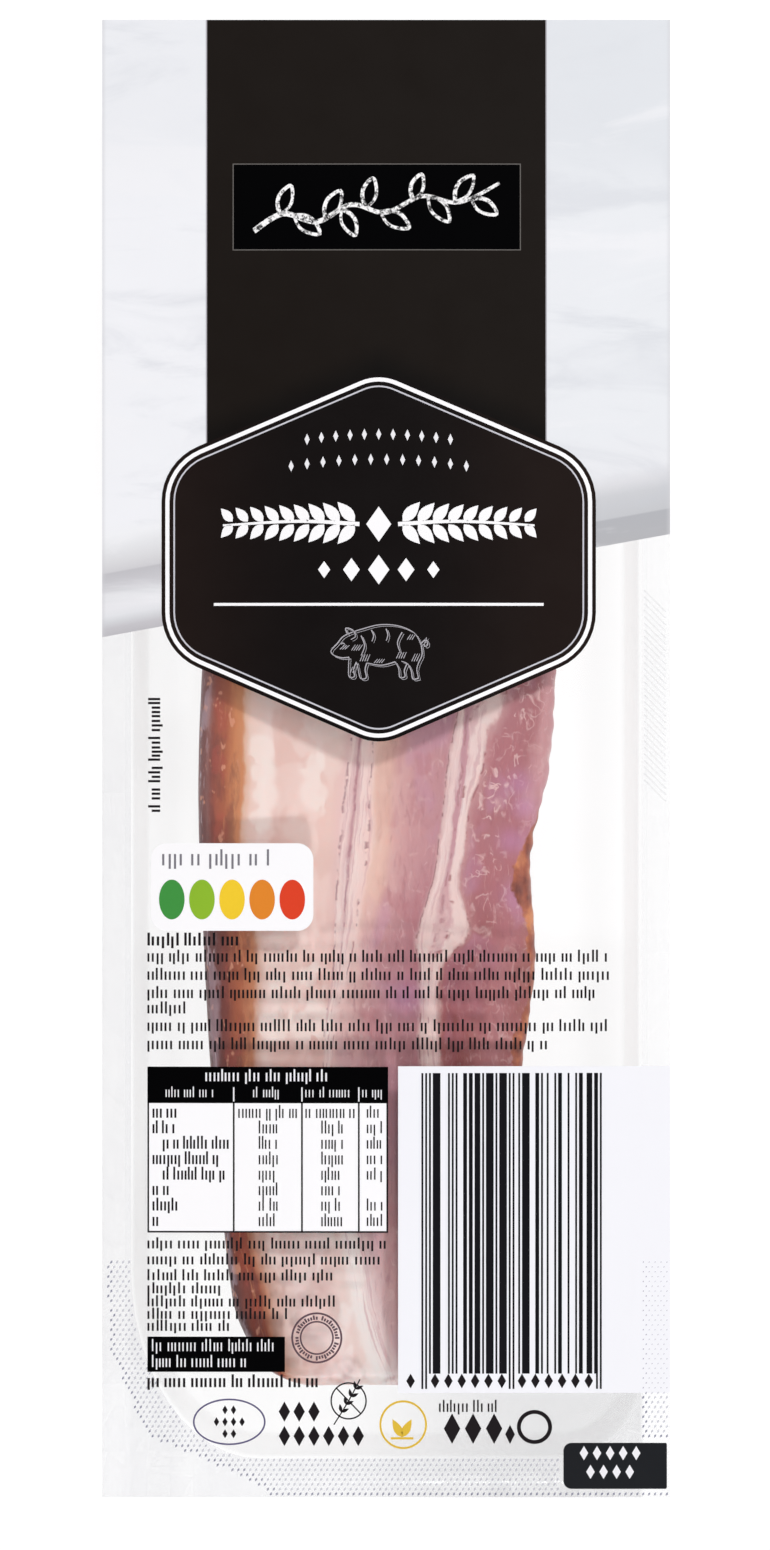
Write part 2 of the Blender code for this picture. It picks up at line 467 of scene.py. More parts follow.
sheet = bmesh.new()
tray_rings = [[sheet.verts.new((x, y, profile[0][1])) for x, y in square_line()]]
for inset, height in profile:
    tray_rings.append([sheet.verts.new((x, y, height)) for x, y in pocket_line(inset)])
join_rings(sheet, tray_rings)
sheet.faces.new(tray_rings[-1])
bmesh.ops.recalc_face_normals(sheet, faces=sheet.faces)
if sheet.faces[-1].normal.z > 0:
    bmesh.ops.reverse_faces(sheet, faces=sheet.faces)
tray_shell = add_piece("tray_shell", sheet, tray_clear)
thicken(tray_shell, SHEET_THICK)
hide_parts("tray")

# %% [markdown]
# ## The chunk of bacon
# The chunk is lofted: a round-cornered section is set at many stations along the pack. Its
# two long edges are the ones that the CAD solid has, and the layers between them follow
# curves of their own. Every point stores how deep it lies in the belly, from the rind at 0
# to the inner side at 1. The material reads that value, so each layer bends, thins and
# widens with its curves, and comes out at the cut ends as well.

# %% Curves through a few places
RIND_EDGE = (
    (-110.8, -16.5),
    (-107.0, -21.8),
    (-95.5, -27.2),
    (-53.2, -31.0),
    (-7.0, -33.3),
    (40.0, -31.2),
    (78.0, -29.0),
    (88.0, -22.0),
)
MEAT_EDGE = (
    (-110.8, 9.0),
    (-106.8, 15.5),
    (-97.0, 20.5),
    (-53.2, 24.3),
    (-36.0, 26.4),
    (-17.0, 25.6),
    (-2.0, 28.6),
    (16.0, 30.0),
    (76.0, 28.5),
    (88.0, 20.0),
)


def edge_at(places, along):
    """Where a curve through (along, across) places lies across the pack."""
    last = len(places) - 1
    index = 0
    while index < last - 1 and along > places[index + 1][0]:
        index += 1
    start, end = places[index], places[index + 1]
    before = places[max(index - 1, 0)]
    after = places[min(index + 2, last)]
    span = end[0] - start[0]
    slope_start = (end[1] - before[1]) / (end[0] - before[0]) * span
    slope_end = (after[1] - start[1]) / (after[0] - start[0]) * span
    t = min(1.0, max(0.0, (along - start[0]) / span))
    rest = 1 - t
    return (
        start[1] * rest * rest * (1 + 2 * t)
        + slope_start * rest * rest * t
        + end[1] * t * t * (3 - 2 * t)
        - slope_end * t * t * rest
    )


widest = max(edge_at(MEAT_EDGE, along) - edge_at(RIND_EDGE, along) for along in range(-100, 80))
print("the chunk is", round(widest, 1), "mm wide at most")

# %% The layers between rind and meat
BELLY_DEPTH = 60.5
LAYERS = (
    (0.0, RIND_EDGE),
    (8.1, ((-108.7, -18.0), (-100.6, -20.5), (-93.2, -21.5), (-85.4, -23.8), (-51.4, -23.6),
           (-33.8, -23.1), (-25.8, -24.0), (-14.7, -25.9), (-7.3, -25.2), (35.0, -25.0))),
    (25.6, ((-109.3, -1.1), (-101.1, -4.2), (-85.4, -7.2), (-69.0, -10.6), (-53.2, -11.1),
            (-44.5, -10.4), (-39.6, -9.3), (-29.9, -9.2), (-19.0, -8.6), (-8.7, -7.8),
            (3.8, -6.0), (35.0, -4.6))),
    (29.6, ((-109.3, 1.6), (-101.1, -1.6), (-85.4, -4.6), (-69.0, -8.8), (-53.2, -9.9),
            (-44.5, -8.8), (-38.2, -7.4), (-29.9, -6.0), (-19.8, -4.6), (-12.4, -3.9),
            (0.3, -3.0), (35.0, -1.8))),
    (31.5, ((-109.3, 3.9), (-101.1, 0.0), (-85.4, -3.4), (-69.0, -7.9), (-53.2, -9.2),
            (-44.5, -7.9), (-38.2, -6.3), (-29.9, -4.4), (-19.8, -2.6), (-12.6, -1.8),
            (0.3, -1.4), (35.0, 0.0))),
    (43.7, ((-109.3, 9.2), (-69.0, 6.7), (-51.4, 6.2), (-42.8, 6.2), (-36.4, 6.0),
            (-32.0, 5.3), (-21.4, 8.5), (-10.1, 10.2), (0.3, 11.5), (7.5, 12.7),
            (28.0, 14.5))),
    (46.0, ((-109.3, 10.8), (-69.0, 8.3), (-51.4, 7.6), (-36.4, 7.6), (-31.1, 9.5),
            (-19.0, 11.1), (-11.6, 12.3), (-1.7, 13.6), (7.5, 14.3), (28.0, 16.2))),
    (48.1, ((-109.3, 12.3), (-69.0, 9.9), (-51.4, 9.2), (-42.8, 9.0), (-36.8, 9.3),
            (-33.8, 12.2), (-31.1, 14.3), (-21.4, 12.5), (-14.4, 13.6), (-9.1, 14.5),
            (-4.1, 16.0), (3.3, 18.3), (10.0, 21.0), (28.0, 23.6))),
    (BELLY_DEPTH, MEAT_EDGE),
)
CRUST_WIDTH = (
    (-110.8, 1.0), (-54.0, 2.2), (-49.0, 2.4), (-43.0, 0.9), (-34.0, 1.6), (-27.0, 2.2),
    (-23.0, 3.6), (-19.0, 3.0), (-15.0, 1.5), (-11.0, 0.5), (-4.0, -0.4), (30.0, -0.2),
    (88.0, 1.5),
)
print(len(LAYERS) - 1, "layers from rind to meat")

# %% One section across the chunk
CHUNK_THICK = 21.0
EDGE_ROUND = 2.6
SAG_ACROSS = 0.5
ARC_STEPS = 5
FACE_STEPS = 84
SIDE_STEPS = 12


def steps_between(start, end, count):
    """Places on the straight way from start to end, without those two."""
    shares = [step / count for step in range(1, count)]
    run, climb = end[0] - start[0], end[1] - start[1]
    return [(start[0] + run * share, start[1] + climb * share) for share in shares]


def section(along, inset):
    """Points of one section across the chunk: arcs at its corners, steps along its faces."""
    left = edge_at(RIND_EDGE, along) + inset
    right = edge_at(MEAT_EDGE, along) - inset
    low = CHUNK_BASE + inset
    high = CHUNK_BASE + CHUNK_THICK - inset
    middle_x, middle_z = (left + right) / 2, (low + high) / 2
    radius = EDGE_ROUND - inset / 2
    points = []
    corners = ((right, high), (left, high), (left, low), (right, low))
    for quarter, (edge_x, edge_z) in enumerate(corners):
        centre_x = edge_x - math.copysign(radius, edge_x - middle_x)
        centre_z = edge_z - math.copysign(radius, edge_z - middle_z)
        for step in range(ARC_STEPS + 1):
            turn = (quarter + step / ARC_STEPS) * math.pi / 2
            points.append((centre_x + radius * math.cos(turn), centre_z + radius * math.sin(turn)))
        start = points[-1]
        next_x, next_z = corners[(quarter + 1) % 4]
        if quarter % 2 == 0:
            end = (next_x - math.copysign(radius, next_x - middle_x), start[1])
            points += steps_between(start, end, FACE_STEPS)
        else:
            end = (start[0], next_z - math.copysign(radius, next_z - middle_z))
            points += steps_between(start, end, SIDE_STEPS)
    half = (right - left) / 2
    shaped = []
    for x, z in points:
        sag = SAG_ACROSS * math.cos((x - middle_x) / half * math.pi) if z > low + radius else 0.0
        shaped.append((x, along, z - sag))
    return shaped


print(len(section(0.0, 0.0)), "points in a section")

# %% Stations along the chunk
STATIONS = 330
END_STEPS = 8
MOST_INSET = 0.8 * EDGE_ROUND


def stations():
    """Places along the chunk with their insets, closer together where the ends turn round."""
    low, high = RIND_EDGE[0][0], RIND_EDGE[-1][0]
    span = high - low - 2 * EDGE_ROUND
    ending = []
    for step in range(END_STEPS):
        turn = math.pi / 2 * step / END_STEPS
        inset = min(EDGE_ROUND * (1 - math.sin(turn)), MOST_INSET)
        ending.append((EDGE_ROUND * (1 - math.cos(turn)), inset))
    first = [(low + away, inset) for away, inset in ending]
    body = [(low + EDGE_ROUND + span * index / STATIONS, 0.0) for index in range(STATIONS + 1)]
    last = [(high - away, inset) for away, inset in reversed(ending)]
    return first + body + last


print(len(stations()), "stations")

# %% Build the chunk
CAP_STEPS = 8
CAP_BULGE = 0.35
chunk = bmesh.new()
chunk_rings = []
for along, inset in stations():
    chunk_rings.append([chunk.verts.new(point) for point in section(along, inset)])


def cap_rings(ring, outward):
    """Rings that close an end: the section's points move to its middle height."""
    middle = CHUNK_BASE + CHUNK_THICK / 2
    made = []
    for step in range(1, CAP_STEPS + 1):
        rest = 1 - step / CAP_STEPS
        bulge = outward * CAP_BULGE * (1 - rest * rest)
        places = [(p.co.x, p.co.y + bulge, middle + (p.co.z - middle) * rest) for p in ring]
        made.append([chunk.verts.new(place) for place in places])
    return made


first_cap = list(reversed(cap_rings(chunk_rings[0], -1)))
last_cap = cap_rings(chunk_rings[-1], 1)
join_rings(chunk, first_cap + chunk_rings + last_cap)
bmesh.ops.remove_doubles(chunk, verts=chunk.verts, dist=0.004)
bmesh.ops.recalc_face_normals(chunk, faces=chunk.faces)
print("chunk", len(chunk.faces), "faces")

# %% [markdown]
# ## Relief and depth values
# Cut meat isn't flat: lean sinks a little between bands of fat, muscle fibres leave fine
# ridges, and the dried edge is ragged. The points move by smooth noise here, so that the
# relief is in the mesh. What each point's place means, its depth in the belly and how far it
# lies in the dried crust, is worked out first, and the finished mesh stores it.

# %% How deep each point lies
def layer_depths(points):
    """Each point's share of the depth, and how far it lies inside the crust's border."""
    depth = np.zeros(len(points))
    crust = np.zeros(len(points))
    order = {}
    for index, point in enumerate(points):
        order.setdefault(round(point[1], 2), []).append(index)
    for along, members in order.items():
        sides = [edge_at(places, along) for _, places in LAYERS]
        depth[members] = np.interp(points[members, 0], sides, [value for value, _ in LAYERS])
        crust[members] = edge_at(CRUST_WIDTH, along) - (sides[-1] - points[members, 0])
    return depth / BELLY_DEPTH, crust


plain = np.array([vert.co[:] for vert in chunk.verts])
depth, crust = layer_depths(plain)
print(len(plain), "points,", int((crust > 0).sum()), "of them in the crust")

# %% Move the points
WAVES, WAVE_SCALE = 0.28, (0.05, 0.04, 0.05)
FIBRE_RIDGE, FIBRE_SCALE = 0.07, (1.1, 0.16, 0.5)
INNER_LEAN = (0.5, 0.72)
OUTER_LEAN = 0.8
ROUGH_EDGE, EDGE_SCALE = 0.35, (0.3, 0.42, 0.2)
ROUGH_FROM = 0.93
LEAN_SINK = 0.12
TOP_ROOM = 0.1


def swell(point, scale, seed):
    """Smooth noise at a point, with so many waves a millimetre."""
    x, y, z = (value * waves for value, waves in zip(point, scale))
    return noise.noise(Vector((x, y, z + seed)))


for vert, point, deep in zip(chunk.verts, plain, depth):
    vert.normal_update()
    lean = INNER_LEAN[0] < deep < INNER_LEAN[1] or deep > OUTER_LEAN
    push = WAVES * swell(point, WAVE_SCALE, 3.0)
    push += FIBRE_RIDGE * swell(point, FIBRE_SCALE, 11.0) * (1.6 if lean else 0.6)
    push -= LEAN_SINK if lean else 0.0
    near_edge = min(1.0, max(0.0, (deep - ROUGH_FROM) * 20))
    push += ROUGH_EDGE * swell(point, EDGE_SCALE, 5.0) * near_edge
    vert.co += vert.normal * push
    vert.co.z = min(max(vert.co.z, CHUNK_BASE), chunk_high.z / MM + TOP_ROOM)
print("relief from", WAVES, "mm waves to", FIBRE_RIDGE, "mm ridges")

# %% [markdown]
# ## The look of the meat
# From the rind inwards a belly shows smoked skin, a thick band of fat, a thin streak of
# lean, fat again, and two broad bands of lean with fat between them. Three colour ramps
# over the stored depth hold these layers: for the upper half, for the darker lower half and
# for the cut end. Noise that is stretched along the chunk breaks up their borders. One group
# draws a dark broken seam at a given depth, another short curled marks of fat, and the meat
# uses both several times.

# %% Colours from rind to meat
# The first stop of the upper half, at the rind's outer edge, is a grey mauve: the dark rind with a painted
# reflection of the clear sheet beside it.
UPPER_LAYERS = (
    (0.0, (130, 96, 100)), (1.8, (146, 100, 94)), (3.0, (152, 80, 64)), (5.0, (172, 96, 66)),
    (6.6, (204, 132, 88)), (7.9, (208, 140, 98)), (8.4, (226, 184, 160)),
    (9.4, (238, 206, 194)), (12.0, (244, 220, 213)),
    (14.2, (238, 205, 196)), (18.0, (242, 212, 204)), (23.4, (246, 217, 209)),
    (25.2, (236, 200, 196)), (26.3, (245, 219, 214)), (27.1, (226, 190, 190)),
    (27.6, (192, 140, 148)), (28.2, (246, 222, 216)), (30.0, (242, 212, 206)),
    (31.0, (245, 213, 203)), (32.6, (243, 204, 195)), (34.2, (224, 178, 174)),
    (38.0, (208, 156, 158)), (43.2, (198, 145, 151)), (44.0, (234, 205, 201)),
    (45.2, (236, 207, 204)), (45.6, (202, 152, 160)), (46.3, (204, 154, 162)), (46.8, (240, 214, 210)),
    (47.9, (240, 214, 209)), (48.5, (200, 148, 150)), (50.5, (182, 120, 126)),
    (60.5, (174, 108, 112)),
)
LOWER_LAYERS = (
    (0.0, (104, 66, 66)), (1.8, (114, 60, 56)), (3.4, (128, 60, 48)), (5.4, (174, 94, 60)),
    (7.6, (196, 128, 92)), (8.6, (216, 174, 156)), (10.0, (234, 203, 193)),
    (11.4, (246, 219, 211)), (13.0, (248, 222, 214)), (15.0, (240, 204, 195)),
    (22.0, (243, 207, 200)), (25.2, (236, 197, 189)), (26.6, (240, 214, 208)),
    (28.6, (239, 213, 208)), (30.0, (236, 204, 199)), (32.0, (226, 188, 184)),
    (34.2, (214, 170, 168)), (37.0, (196, 146, 150)), (40.0, (182, 128, 134)),
    (43.0, (178, 122, 128)), (44.0, (226, 198, 192)), (46.0, (236, 208, 202)),
    (47.8, (236, 207, 201)), (48.8, (166, 92, 92)), (50.4, (148, 72, 72)),
    (52.0, (152, 80, 78)), (54.8, (184, 118, 120)), (56.5, (188, 128, 130)),
    (58.2, (176, 110, 108)), (60.5, (156, 88, 80)),
)
END_LAYERS = (
    (0.0, (90, 52, 56)), (1.6, (98, 52, 46)), (3.0, (140, 62, 38)), (5.0, (154, 62, 34)),
    (7.0, (156, 72, 42)), (8.2, (190, 126, 96)), (9.6, (214, 172, 156)),
    (12.0, (232, 202, 194)), (15.0, (240, 212, 207)), (20.0, (246, 222, 218)),
    (23.0, (246, 230, 225)), (26.5, (249, 237, 233)), (29.0, (246, 228, 224)),
    (31.0, (234, 206, 204)), (33.0, (218, 180, 180)), (35.5, (212, 164, 164)),
    (43.0, (188, 134, 140)), (44.5, (232, 206, 201)), (47.8, (230, 204, 198)),
    (49.0, (168, 104, 108)), (60.5, (150, 84, 80)),
)
print("stops", len(UPPER_LAYERS), "upper,", len(LOWER_LAYERS), "lower,", len(END_LAYERS), "at the end")

# %% The group for one broken seam
seam_line, way_in, way_out = new_group(
    "seam_line",
    (
        ("Depth", "NodeSocketFloat", 0.5),
        ("Place", "NodeSocketFloat", 0.5),
        ("Width", "NodeSocketFloat", 0.004),
        ("Whole", "NodeSocketFloat", 0.5),
    ),
    (("Mask", "NodeSocketFloat"),),
)
apart = calc(seam_line, "SUBTRACT", way_in.outputs["Depth"], way_in.outputs["Place"])
away = calc(seam_line, "DIVIDE", calc(seam_line, "ABSOLUTE", apart), way_in.outputs["Width"])
near = calc(seam_line, "SUBTRACT", 1.0, away, clamp=True)
dashes = grain(seam_line, (260.0, 420.0, 260.0), 2.0, 0.6)
limit = calc(seam_line, "MULTIPLY_ADD", way_in.outputs["Whole"], -0.3, 0.65)
kept = calc(seam_line, "MULTIPLY", calc(seam_line, "SUBTRACT", dashes, limit), 14.0, clamp=True)
seam_line.links.new(times(seam_line, near, kept), way_out.inputs["Mask"])
print("group", seam_line.name, len(seam_line.nodes), "nodes")

# %% The group for short curled marks
curled_marks, way_in, way_out = new_group(
    "curled_marks",
    (
        ("Fineness", "NodeSocketFloat", 400.0),
        ("Thinness", "NodeSocketFloat", 0.03),
        ("Amount", "NodeSocketFloat", 0.5),
    ),
    (("Mask", "NodeSocketFloat"),),
)
spots = stretched(curled_marks, (1.0, 0.7, 1.0), 0.3)
feeds = {"Vector": spots, "Scale": way_in.outputs["Fineness"], "Detail": 1.5, "Distortion": 0.8}
swirl = add_node(curled_marks, "ShaderNodeTexNoise", feeds).outputs[0]
ridge = calc(curled_marks, "ABSOLUTE", calc(curled_marks, "SUBTRACT", swirl, 0.5))
away = calc(curled_marks, "DIVIDE", ridge, way_in.outputs["Thinness"])
line = calc(curled_marks, "SUBTRACT", 1.0, away, clamp=True)
finer = times(curled_marks, way_in.outputs["Fineness"], 1.3)
feeds = {"Vector": stretched(curled_marks, (1.0, 1.0, 1.0), 1.0), "Scale": finer, "Detail": 1.0}
pieces = add_node(curled_marks, "ShaderNodeTexNoise", feeds).outputs[0]
limit = calc(curled_marks, "MULTIPLY_ADD", way_in.outputs["Amount"], -0.4, 0.75)
short = calc(curled_marks, "MULTIPLY", calc(curled_marks, "SUBTRACT", pieces, limit), 12.0, clamp=True)
curled_marks.links.new(times(curled_marks, line, short), way_out.inputs["Mask"])
print("group", curled_marks.name, len(curled_marks.nodes), "nodes")

# %% The meat's colour, layer by layer
WOBBLES = (
    (0.034, (110.0, 45.0, 110.0), 2.0),
    (0.018, (320.0, 150.0, 320.0), 2.0),
    (0.014, (900.0, 420.0, 900.0), 3.0, 0.65),
)
DARKER_HALF = (-12.0, -46.0)
CUT_END = (-60.0, -86.0)
bacon, tree, shader = new_material("bacon_layers")


def stored_value(label):
    """A value that each point of the finished mesh carries."""
    return add_node(tree, "ShaderNodeAttribute", attribute_name=label).outputs["Fac"]


_, along, height = object_axes(tree)
bent = stored_value("depth")
for reach, *settings in WOBBLES:
    wobble = calc(tree, "SUBTRACT", grain(tree, *settings), 0.5)
    bent = calc(tree, "MULTIPLY_ADD", wobble, reach, bent)
downward = fade(tree, along, *DARKER_HALF)
to_end = fade(tree, along, *CUT_END)
upper_colour = ramp(tree, bent, by_share(UPPER_LAYERS, BELLY_DEPTH))
lower_colour = ramp(tree, bent, by_share(LOWER_LAYERS, BELLY_DEPTH))
end_colour = ramp(tree, bent, by_share(END_LAYERS, BELLY_DEPTH))
colour = mix_colours(tree, downward, upper_colour, lower_colour)
colour = mix_colours(tree, to_end, colour, end_colour)
print("layers:", len(tree.nodes), "nodes")

# %% Helpers that lay more over the layers
def lay_over(below, coloured, strength, *shares):
    """In the tree at hand, mixes a screen colour over what is below, where the shares let it."""
    return mix_colours(tree, times(tree, *shares, strength), below, tone(*coloured))


def from_depth(start, end):
    """Rises from 0 to 1 between two depths, which are given in millimetres."""
    return remap(tree, bent, start / BELLY_DEPTH, end / BELLY_DEPTH)


def between(low, rise, fall, high):
    """1 in a band of depths, 0 outside it."""
    return times(tree, from_depth(low, rise), from_depth(high, fall))


def patches(low, high, *settings):
    """Soft-edged patches: grain, cut between two of its values."""
    return remap(tree, grain(tree, *settings), low, high)


def layer_lines(low, high, across, repeats, detail=3.0, rough=0.6, shift=0.0):
    """The same with noise that runs with the layers: repeats a millimetre deep, and a metre along."""
    side = times(tree, bent, across * BELLY_DEPTH)
    run = calc(tree, "MULTIPLY_ADD", along, repeats, shift)
    down = times(tree, height, across / MM)
    spot = add_node(tree, "ShaderNodeCombineXYZ", {0: side, 1: run, 2: down})
    feeds = {"Vector": spot.outputs[0], "Scale": 1.0, "Detail": detail, "Roughness": rough}
    return remap(tree, add_node(tree, "ShaderNodeTexNoise", feeds).outputs[0], low, high)


# %% Clouded fat
in_fat = between(9.5, 12.0, 23.5, 25.5)
clouds = patches(0.48, 0.56, (175.0, 115.0, 175.0), 2.0, 0.5, 0.0, 0.4)
colour = lay_over(colour, (226, 180, 168), 0.36, clouds, in_fat)
paler = patches(0.52, 0.60, (150.0, 80.0, 150.0), 2.0, 0.5, 0.4, 0.3)
colour = lay_over(colour, (251, 230, 223), 0.4, paler, in_fat)
colour = lay_over(colour, (250, 228, 222), 0.3, layer_lines(0.54, 0.68, 0.45, 40.0), in_fat)
torn = calc(tree, "MULTIPLY_ADD", calc(tree, "SUBTRACT", clouds, 0.5), -0.4, stored_value("cream"))
creamy = remap(tree, torn, 0.3, 0.62)
colour = lay_over(colour, (253, 236, 229), 0.6, creamy, from_depth(8.6, 9.6))
print("with clouded fat:", len(tree.nodes), "nodes")

# %% Streaks inside the bands of fat
first_band = between(25.0, 25.8, 30.2, 31.4)
second_band = between(43.5, 44.2, 47.6, 48.4)
in_bands = calc(tree, "ADD", first_band, second_band, clamp=True)
rosy_lines = layer_lines(0.50, 0.62, 1.3, 55.0, 4.0, 0.65, 3.0)
colour = lay_over(colour, (204, 154, 162), 0.5, rosy_lines, in_bands)
pale_lines = layer_lines(0.55, 0.66, 1.0, 60.0, 4.0, 0.65, 9.0)
colour = lay_over(colour, (250, 230, 226), 0.45, pale_lines, in_bands)
print("with streaks:", len(tree.nodes), "nodes")

# %% Fibrous lean
inner_lean = between(30.5, 32.5, 42.5, 43.6)
outer_lean = from_depth(48.3, 49.6)
in_lean = calc(tree, "ADD", inner_lean, outer_lean, clamp=True)
bundles = patches(0.5, 0.64, (190.0, 80.0, 190.0), 4.0, 0.6, -0.35, 0.5)
colour = lay_over(colour, (172, 104, 116), 0.26, bundles, in_lean)
fibres = grain(tree, (1000.0, 240.0, 600.0), 4.0, 0.65, -0.3, 0.6)
colour = lay_over(colour, (160, 94, 106), 0.34, remap(tree, fibres, 0.52, 0.70), in_lean)
colour = lay_over(colour, (226, 184, 184), 0.4, remap(tree, fibres, 0.44, 0.30), in_lean)
lilac_and_sheen = patches(0.50, 0.60, (125.0, 75.0, 125.0), 2.0, 0.5, -0.4, 0.3)
less_low = remap(tree, downward, 1.0, 0.5, 0.5, 1.0)
colour = lay_over(colour, (200, 148, 176), 0.34, lilac_and_sheen, less_low, in_lean)
rosy = patches(0.53, 0.62, (160.0, 110.0, 160.0), 2.0, 0.5, 0.9, 0.3)
colour = lay_over(colour, (184, 112, 120), 0.3, rosy, in_lean)
salmon = between(30.6, 31.6, 33.4, 35.4)
colour = lay_over(colour, (232, 190, 170), 0.5, salmon, remap(tree, downward, 0.9, 0.3))
print("with fibrous lean:", len(tree.nodes), "nodes")

# %% Curled flecks of fat in the lean
OUTER_CURLS = ((430.0, 0.05, 0.70, 0.8), (210.0, 0.085, 0.40, 0.6))


def curls(fineness, thinness, amount):
    feeds = {"Fineness": fineness, "Thinness": thinness, "Amount": amount}
    return use_group(tree, curled_marks, feeds).outputs["Mask"]


colour = lay_over(colour, (236, 204, 200), 0.42, curls(330.0, 0.045, 0.42), inner_lean)
outer_edge = between(55.5, 58.5, 60.4, 61.5)
colour = lay_over(colour, (212, 164, 166), 0.6, outer_edge, fade(tree, along, -14.0, -6.0))
more_above = fade(tree, along, -34.0, -6.0, 0.4, 1.0)
clusters = remap(tree, grain(tree, (95.0, 70.0, 95.0), 2.0, 0.5), 0.40, 0.56, 0.25, 1.0)
for *settings, strength in OUTER_CURLS:
    shares = (curls(*settings), outer_lean, more_above, clusters)
    colour = lay_over(colour, (240, 206, 202), strength, *shares)
# Painted sheen: lilac spots on the cut lean, where it catches the light.
colour = lay_over(colour, (198, 140, 182), 0.5, stored_value("lilac_and_sheen"))
print("with curled flecks:", len(tree.nodes), "nodes")

# %% Dark seams between the layers
# Each seam: its depth and width in millimetres, how whole it is, and its colour.
SEAMS = (
    (25.7, 0.34, 0.55, (156, 108, 118)),
    (30.3, 0.30, 0.52, (150, 96, 106)),
    (27.6, 0.30, 0.60, (178, 126, 136)),
    (43.5, 0.22, 0.72, (140, 88, 94)),
    (45.9, 0.28, 0.62, (178, 122, 130)),
    (46.6, 0.42, 0.22, (150, 70, 76)),
    (48.4, 0.34, 0.40, (152, 80, 88)),
)
seams_kept = remap(tree, to_end, 0.5, 0.1, 0.0, 0.75)
for spot, width, whole, seam_colour in SEAMS:
    feeds = {"Depth": bent, "Place": spot / BELLY_DEPTH, "Width": width / BELLY_DEPTH, "Whole": whole}
    seam = use_group(tree, seam_line, feeds).outputs["Mask"]
    colour = lay_over(colour, seam_colour, 1.0, seam, seams_kept)
print(len(SEAMS), "seams")

# %% Smoked rind
SKIN_TONES = ((0.34, (92, 48, 38)), (0.5, (134, 76, 52)), (0.62, (172, 108, 68)), (0.72, (120, 66, 50)))
in_rind = from_depth(7.6, 6.6)
smoke = patches(0.47, 0.60, (260.0, 85.0, 150.0), 4.0, 0.6)
colour = lay_over(colour, (112, 62, 58), 0.5, smoke, in_rind)
red = patches(0.52, 0.62, (330.0, 170.0, 260.0), 3.0, 0.6, 0.5, 0.4)
colour = lay_over(colour, (176, 82, 70), 0.4, red, between(2.2, 3.2, 5.2, 6.4))
amber = layer_lines(0.53, 0.66, 0.9, 70.0, 4.0, 0.6, 5.0)
colour = lay_over(colour, (218, 150, 102), 0.45, amber, between(3.4, 5.0, 7.2, 8.2))
# Peach specks on the rind: partly its own colour and partly painted glints.
specks_and_glints = patches(0.62, 0.69, (700.0, 360.0, 700.0), 2.0, 0.5)
colour = lay_over(colour, (226, 160, 130), 0.6, specks_and_glints, in_rind)
# Painted reflection: a lilac-grey sheen along the rind's outer edge, where there is less smoke.
sheen = between(0.2, 0.7, 1.2, 2.4)
colour = lay_over(colour, (188, 164, 174), 0.5, sheen, remap(tree, smoke, 0.7, 0.2))
# Painted highlights: thin pale glints near the rind's outer edge.
glints = layer_lines(0.60, 0.68, 2.2, 130.0, 3.0, 0.6, 1.0)
colour = lay_over(colour, (228, 212, 218), 0.6, glints, between(0.1, 0.4, 1.2, 1.9))
skin_colour = ramp(tree, grain(tree, (170.0, 45.0, 130.0), 4.0, 0.6), SKIN_TONES)
colour = mix_colours(tree, stored_value("skin"), colour, skin_colour)
print("with smoked rind:", len(tree.nodes), "nodes")

# %% Dried crust on the meat's edge
CRUST_TONES = ((0.32, (120, 60, 50)), (0.5, (170, 94, 68)), (0.68, (212, 138, 92)))
CRUST_RAGGED = 2.6
ragged = grain(tree, (420.0, 330.0, 420.0), 3.0, 0.65)
uneven = calc(tree, "SUBTRACT", ragged, 0.5)
crust_line = calc(tree, "MULTIPLY_ADD", uneven, CRUST_RAGGED, stored_value("crust"))
crust_share = remap(tree, crust_line, -0.15, 0.5)
crust_colour = ramp(tree, grain(tree, (300.0, 200.0, 200.0), 3.0), CRUST_TONES)
colour = mix_colours(tree, crust_share, colour, crust_colour)
tree.links.new(colour, shader.inputs["Base Color"])
print("with dried crust:", len(tree.nodes), "nodes")

# %% Moist gloss and fine bump
wet = calc(tree, "MULTIPLY_ADD", grain(tree, (260.0, 180.0, 260.0), 3.0), 0.3, 0.22)
tree.links.new(wet, shader.inputs["Roughness"])
relief = calc(tree, "MULTIPLY_ADD", fibres, in_lean, times(tree, ragged, 0.6))
bump = add_node(tree, "ShaderNodeBump", {"Strength": 0.35, "Distance": 0.0004, "Height": relief})
tree.links.new(bump.outputs[0], shader.inputs["Normal"])
shader.inputs["Subsurface Weight"].default_value = 0.25
shader.inputs["Subsurface Radius"].default_value = (1.0, 0.35, 0.3)
shader.inputs["Subsurface Scale"].default_value = 0.0012
shader.inputs["Specular IOR Level"].default_value = 0.4
print("bacon material", len(tree.nodes), "nodes")

# %% Finish the chunk
# Each spot: its place across and along the pack and its reach, in millimetres.
# The lilac spots are painted sheen on the cut lean; the cream spots are paler fat.
LILAC_SHEEN_SPOTS = (
    (23.6, -4.5, 2.4), (24.4, -8.5, 2.2), (22.0, -14.5, 2.2), (23.0, -24.0, 2.4), (3.5, -42.0, 3.2),
)
CREAM_SPOTS = (
    (-22.3, 1.5, 2.4), (-22.5, -2.5, 2.6), (-22.0, -6.5, 2.6), (-22.8, -10.5, 2.2),
    (-12.5, -1.0, 2.6), (-12.0, -6.0, 2.8), (-13.5, -46.5, 3.4), (-20.5, -48.0, 2.6),
    (-14.0, -38.5, 2.6),
)
SIDE_CRUST = 0.6


def spotted(spots):
    """For each point, how near it is to one of the soft round spots, from 0 to 1."""
    nearest = np.zeros(len(plain))
    for spot_x, spot_y, reach in spots:
        away = np.hypot(plain[:, 0] - spot_x, plain[:, 1] - spot_y)
        nearest = np.maximum(nearest, np.exp(-((away / reach) ** 2)))
    return nearest


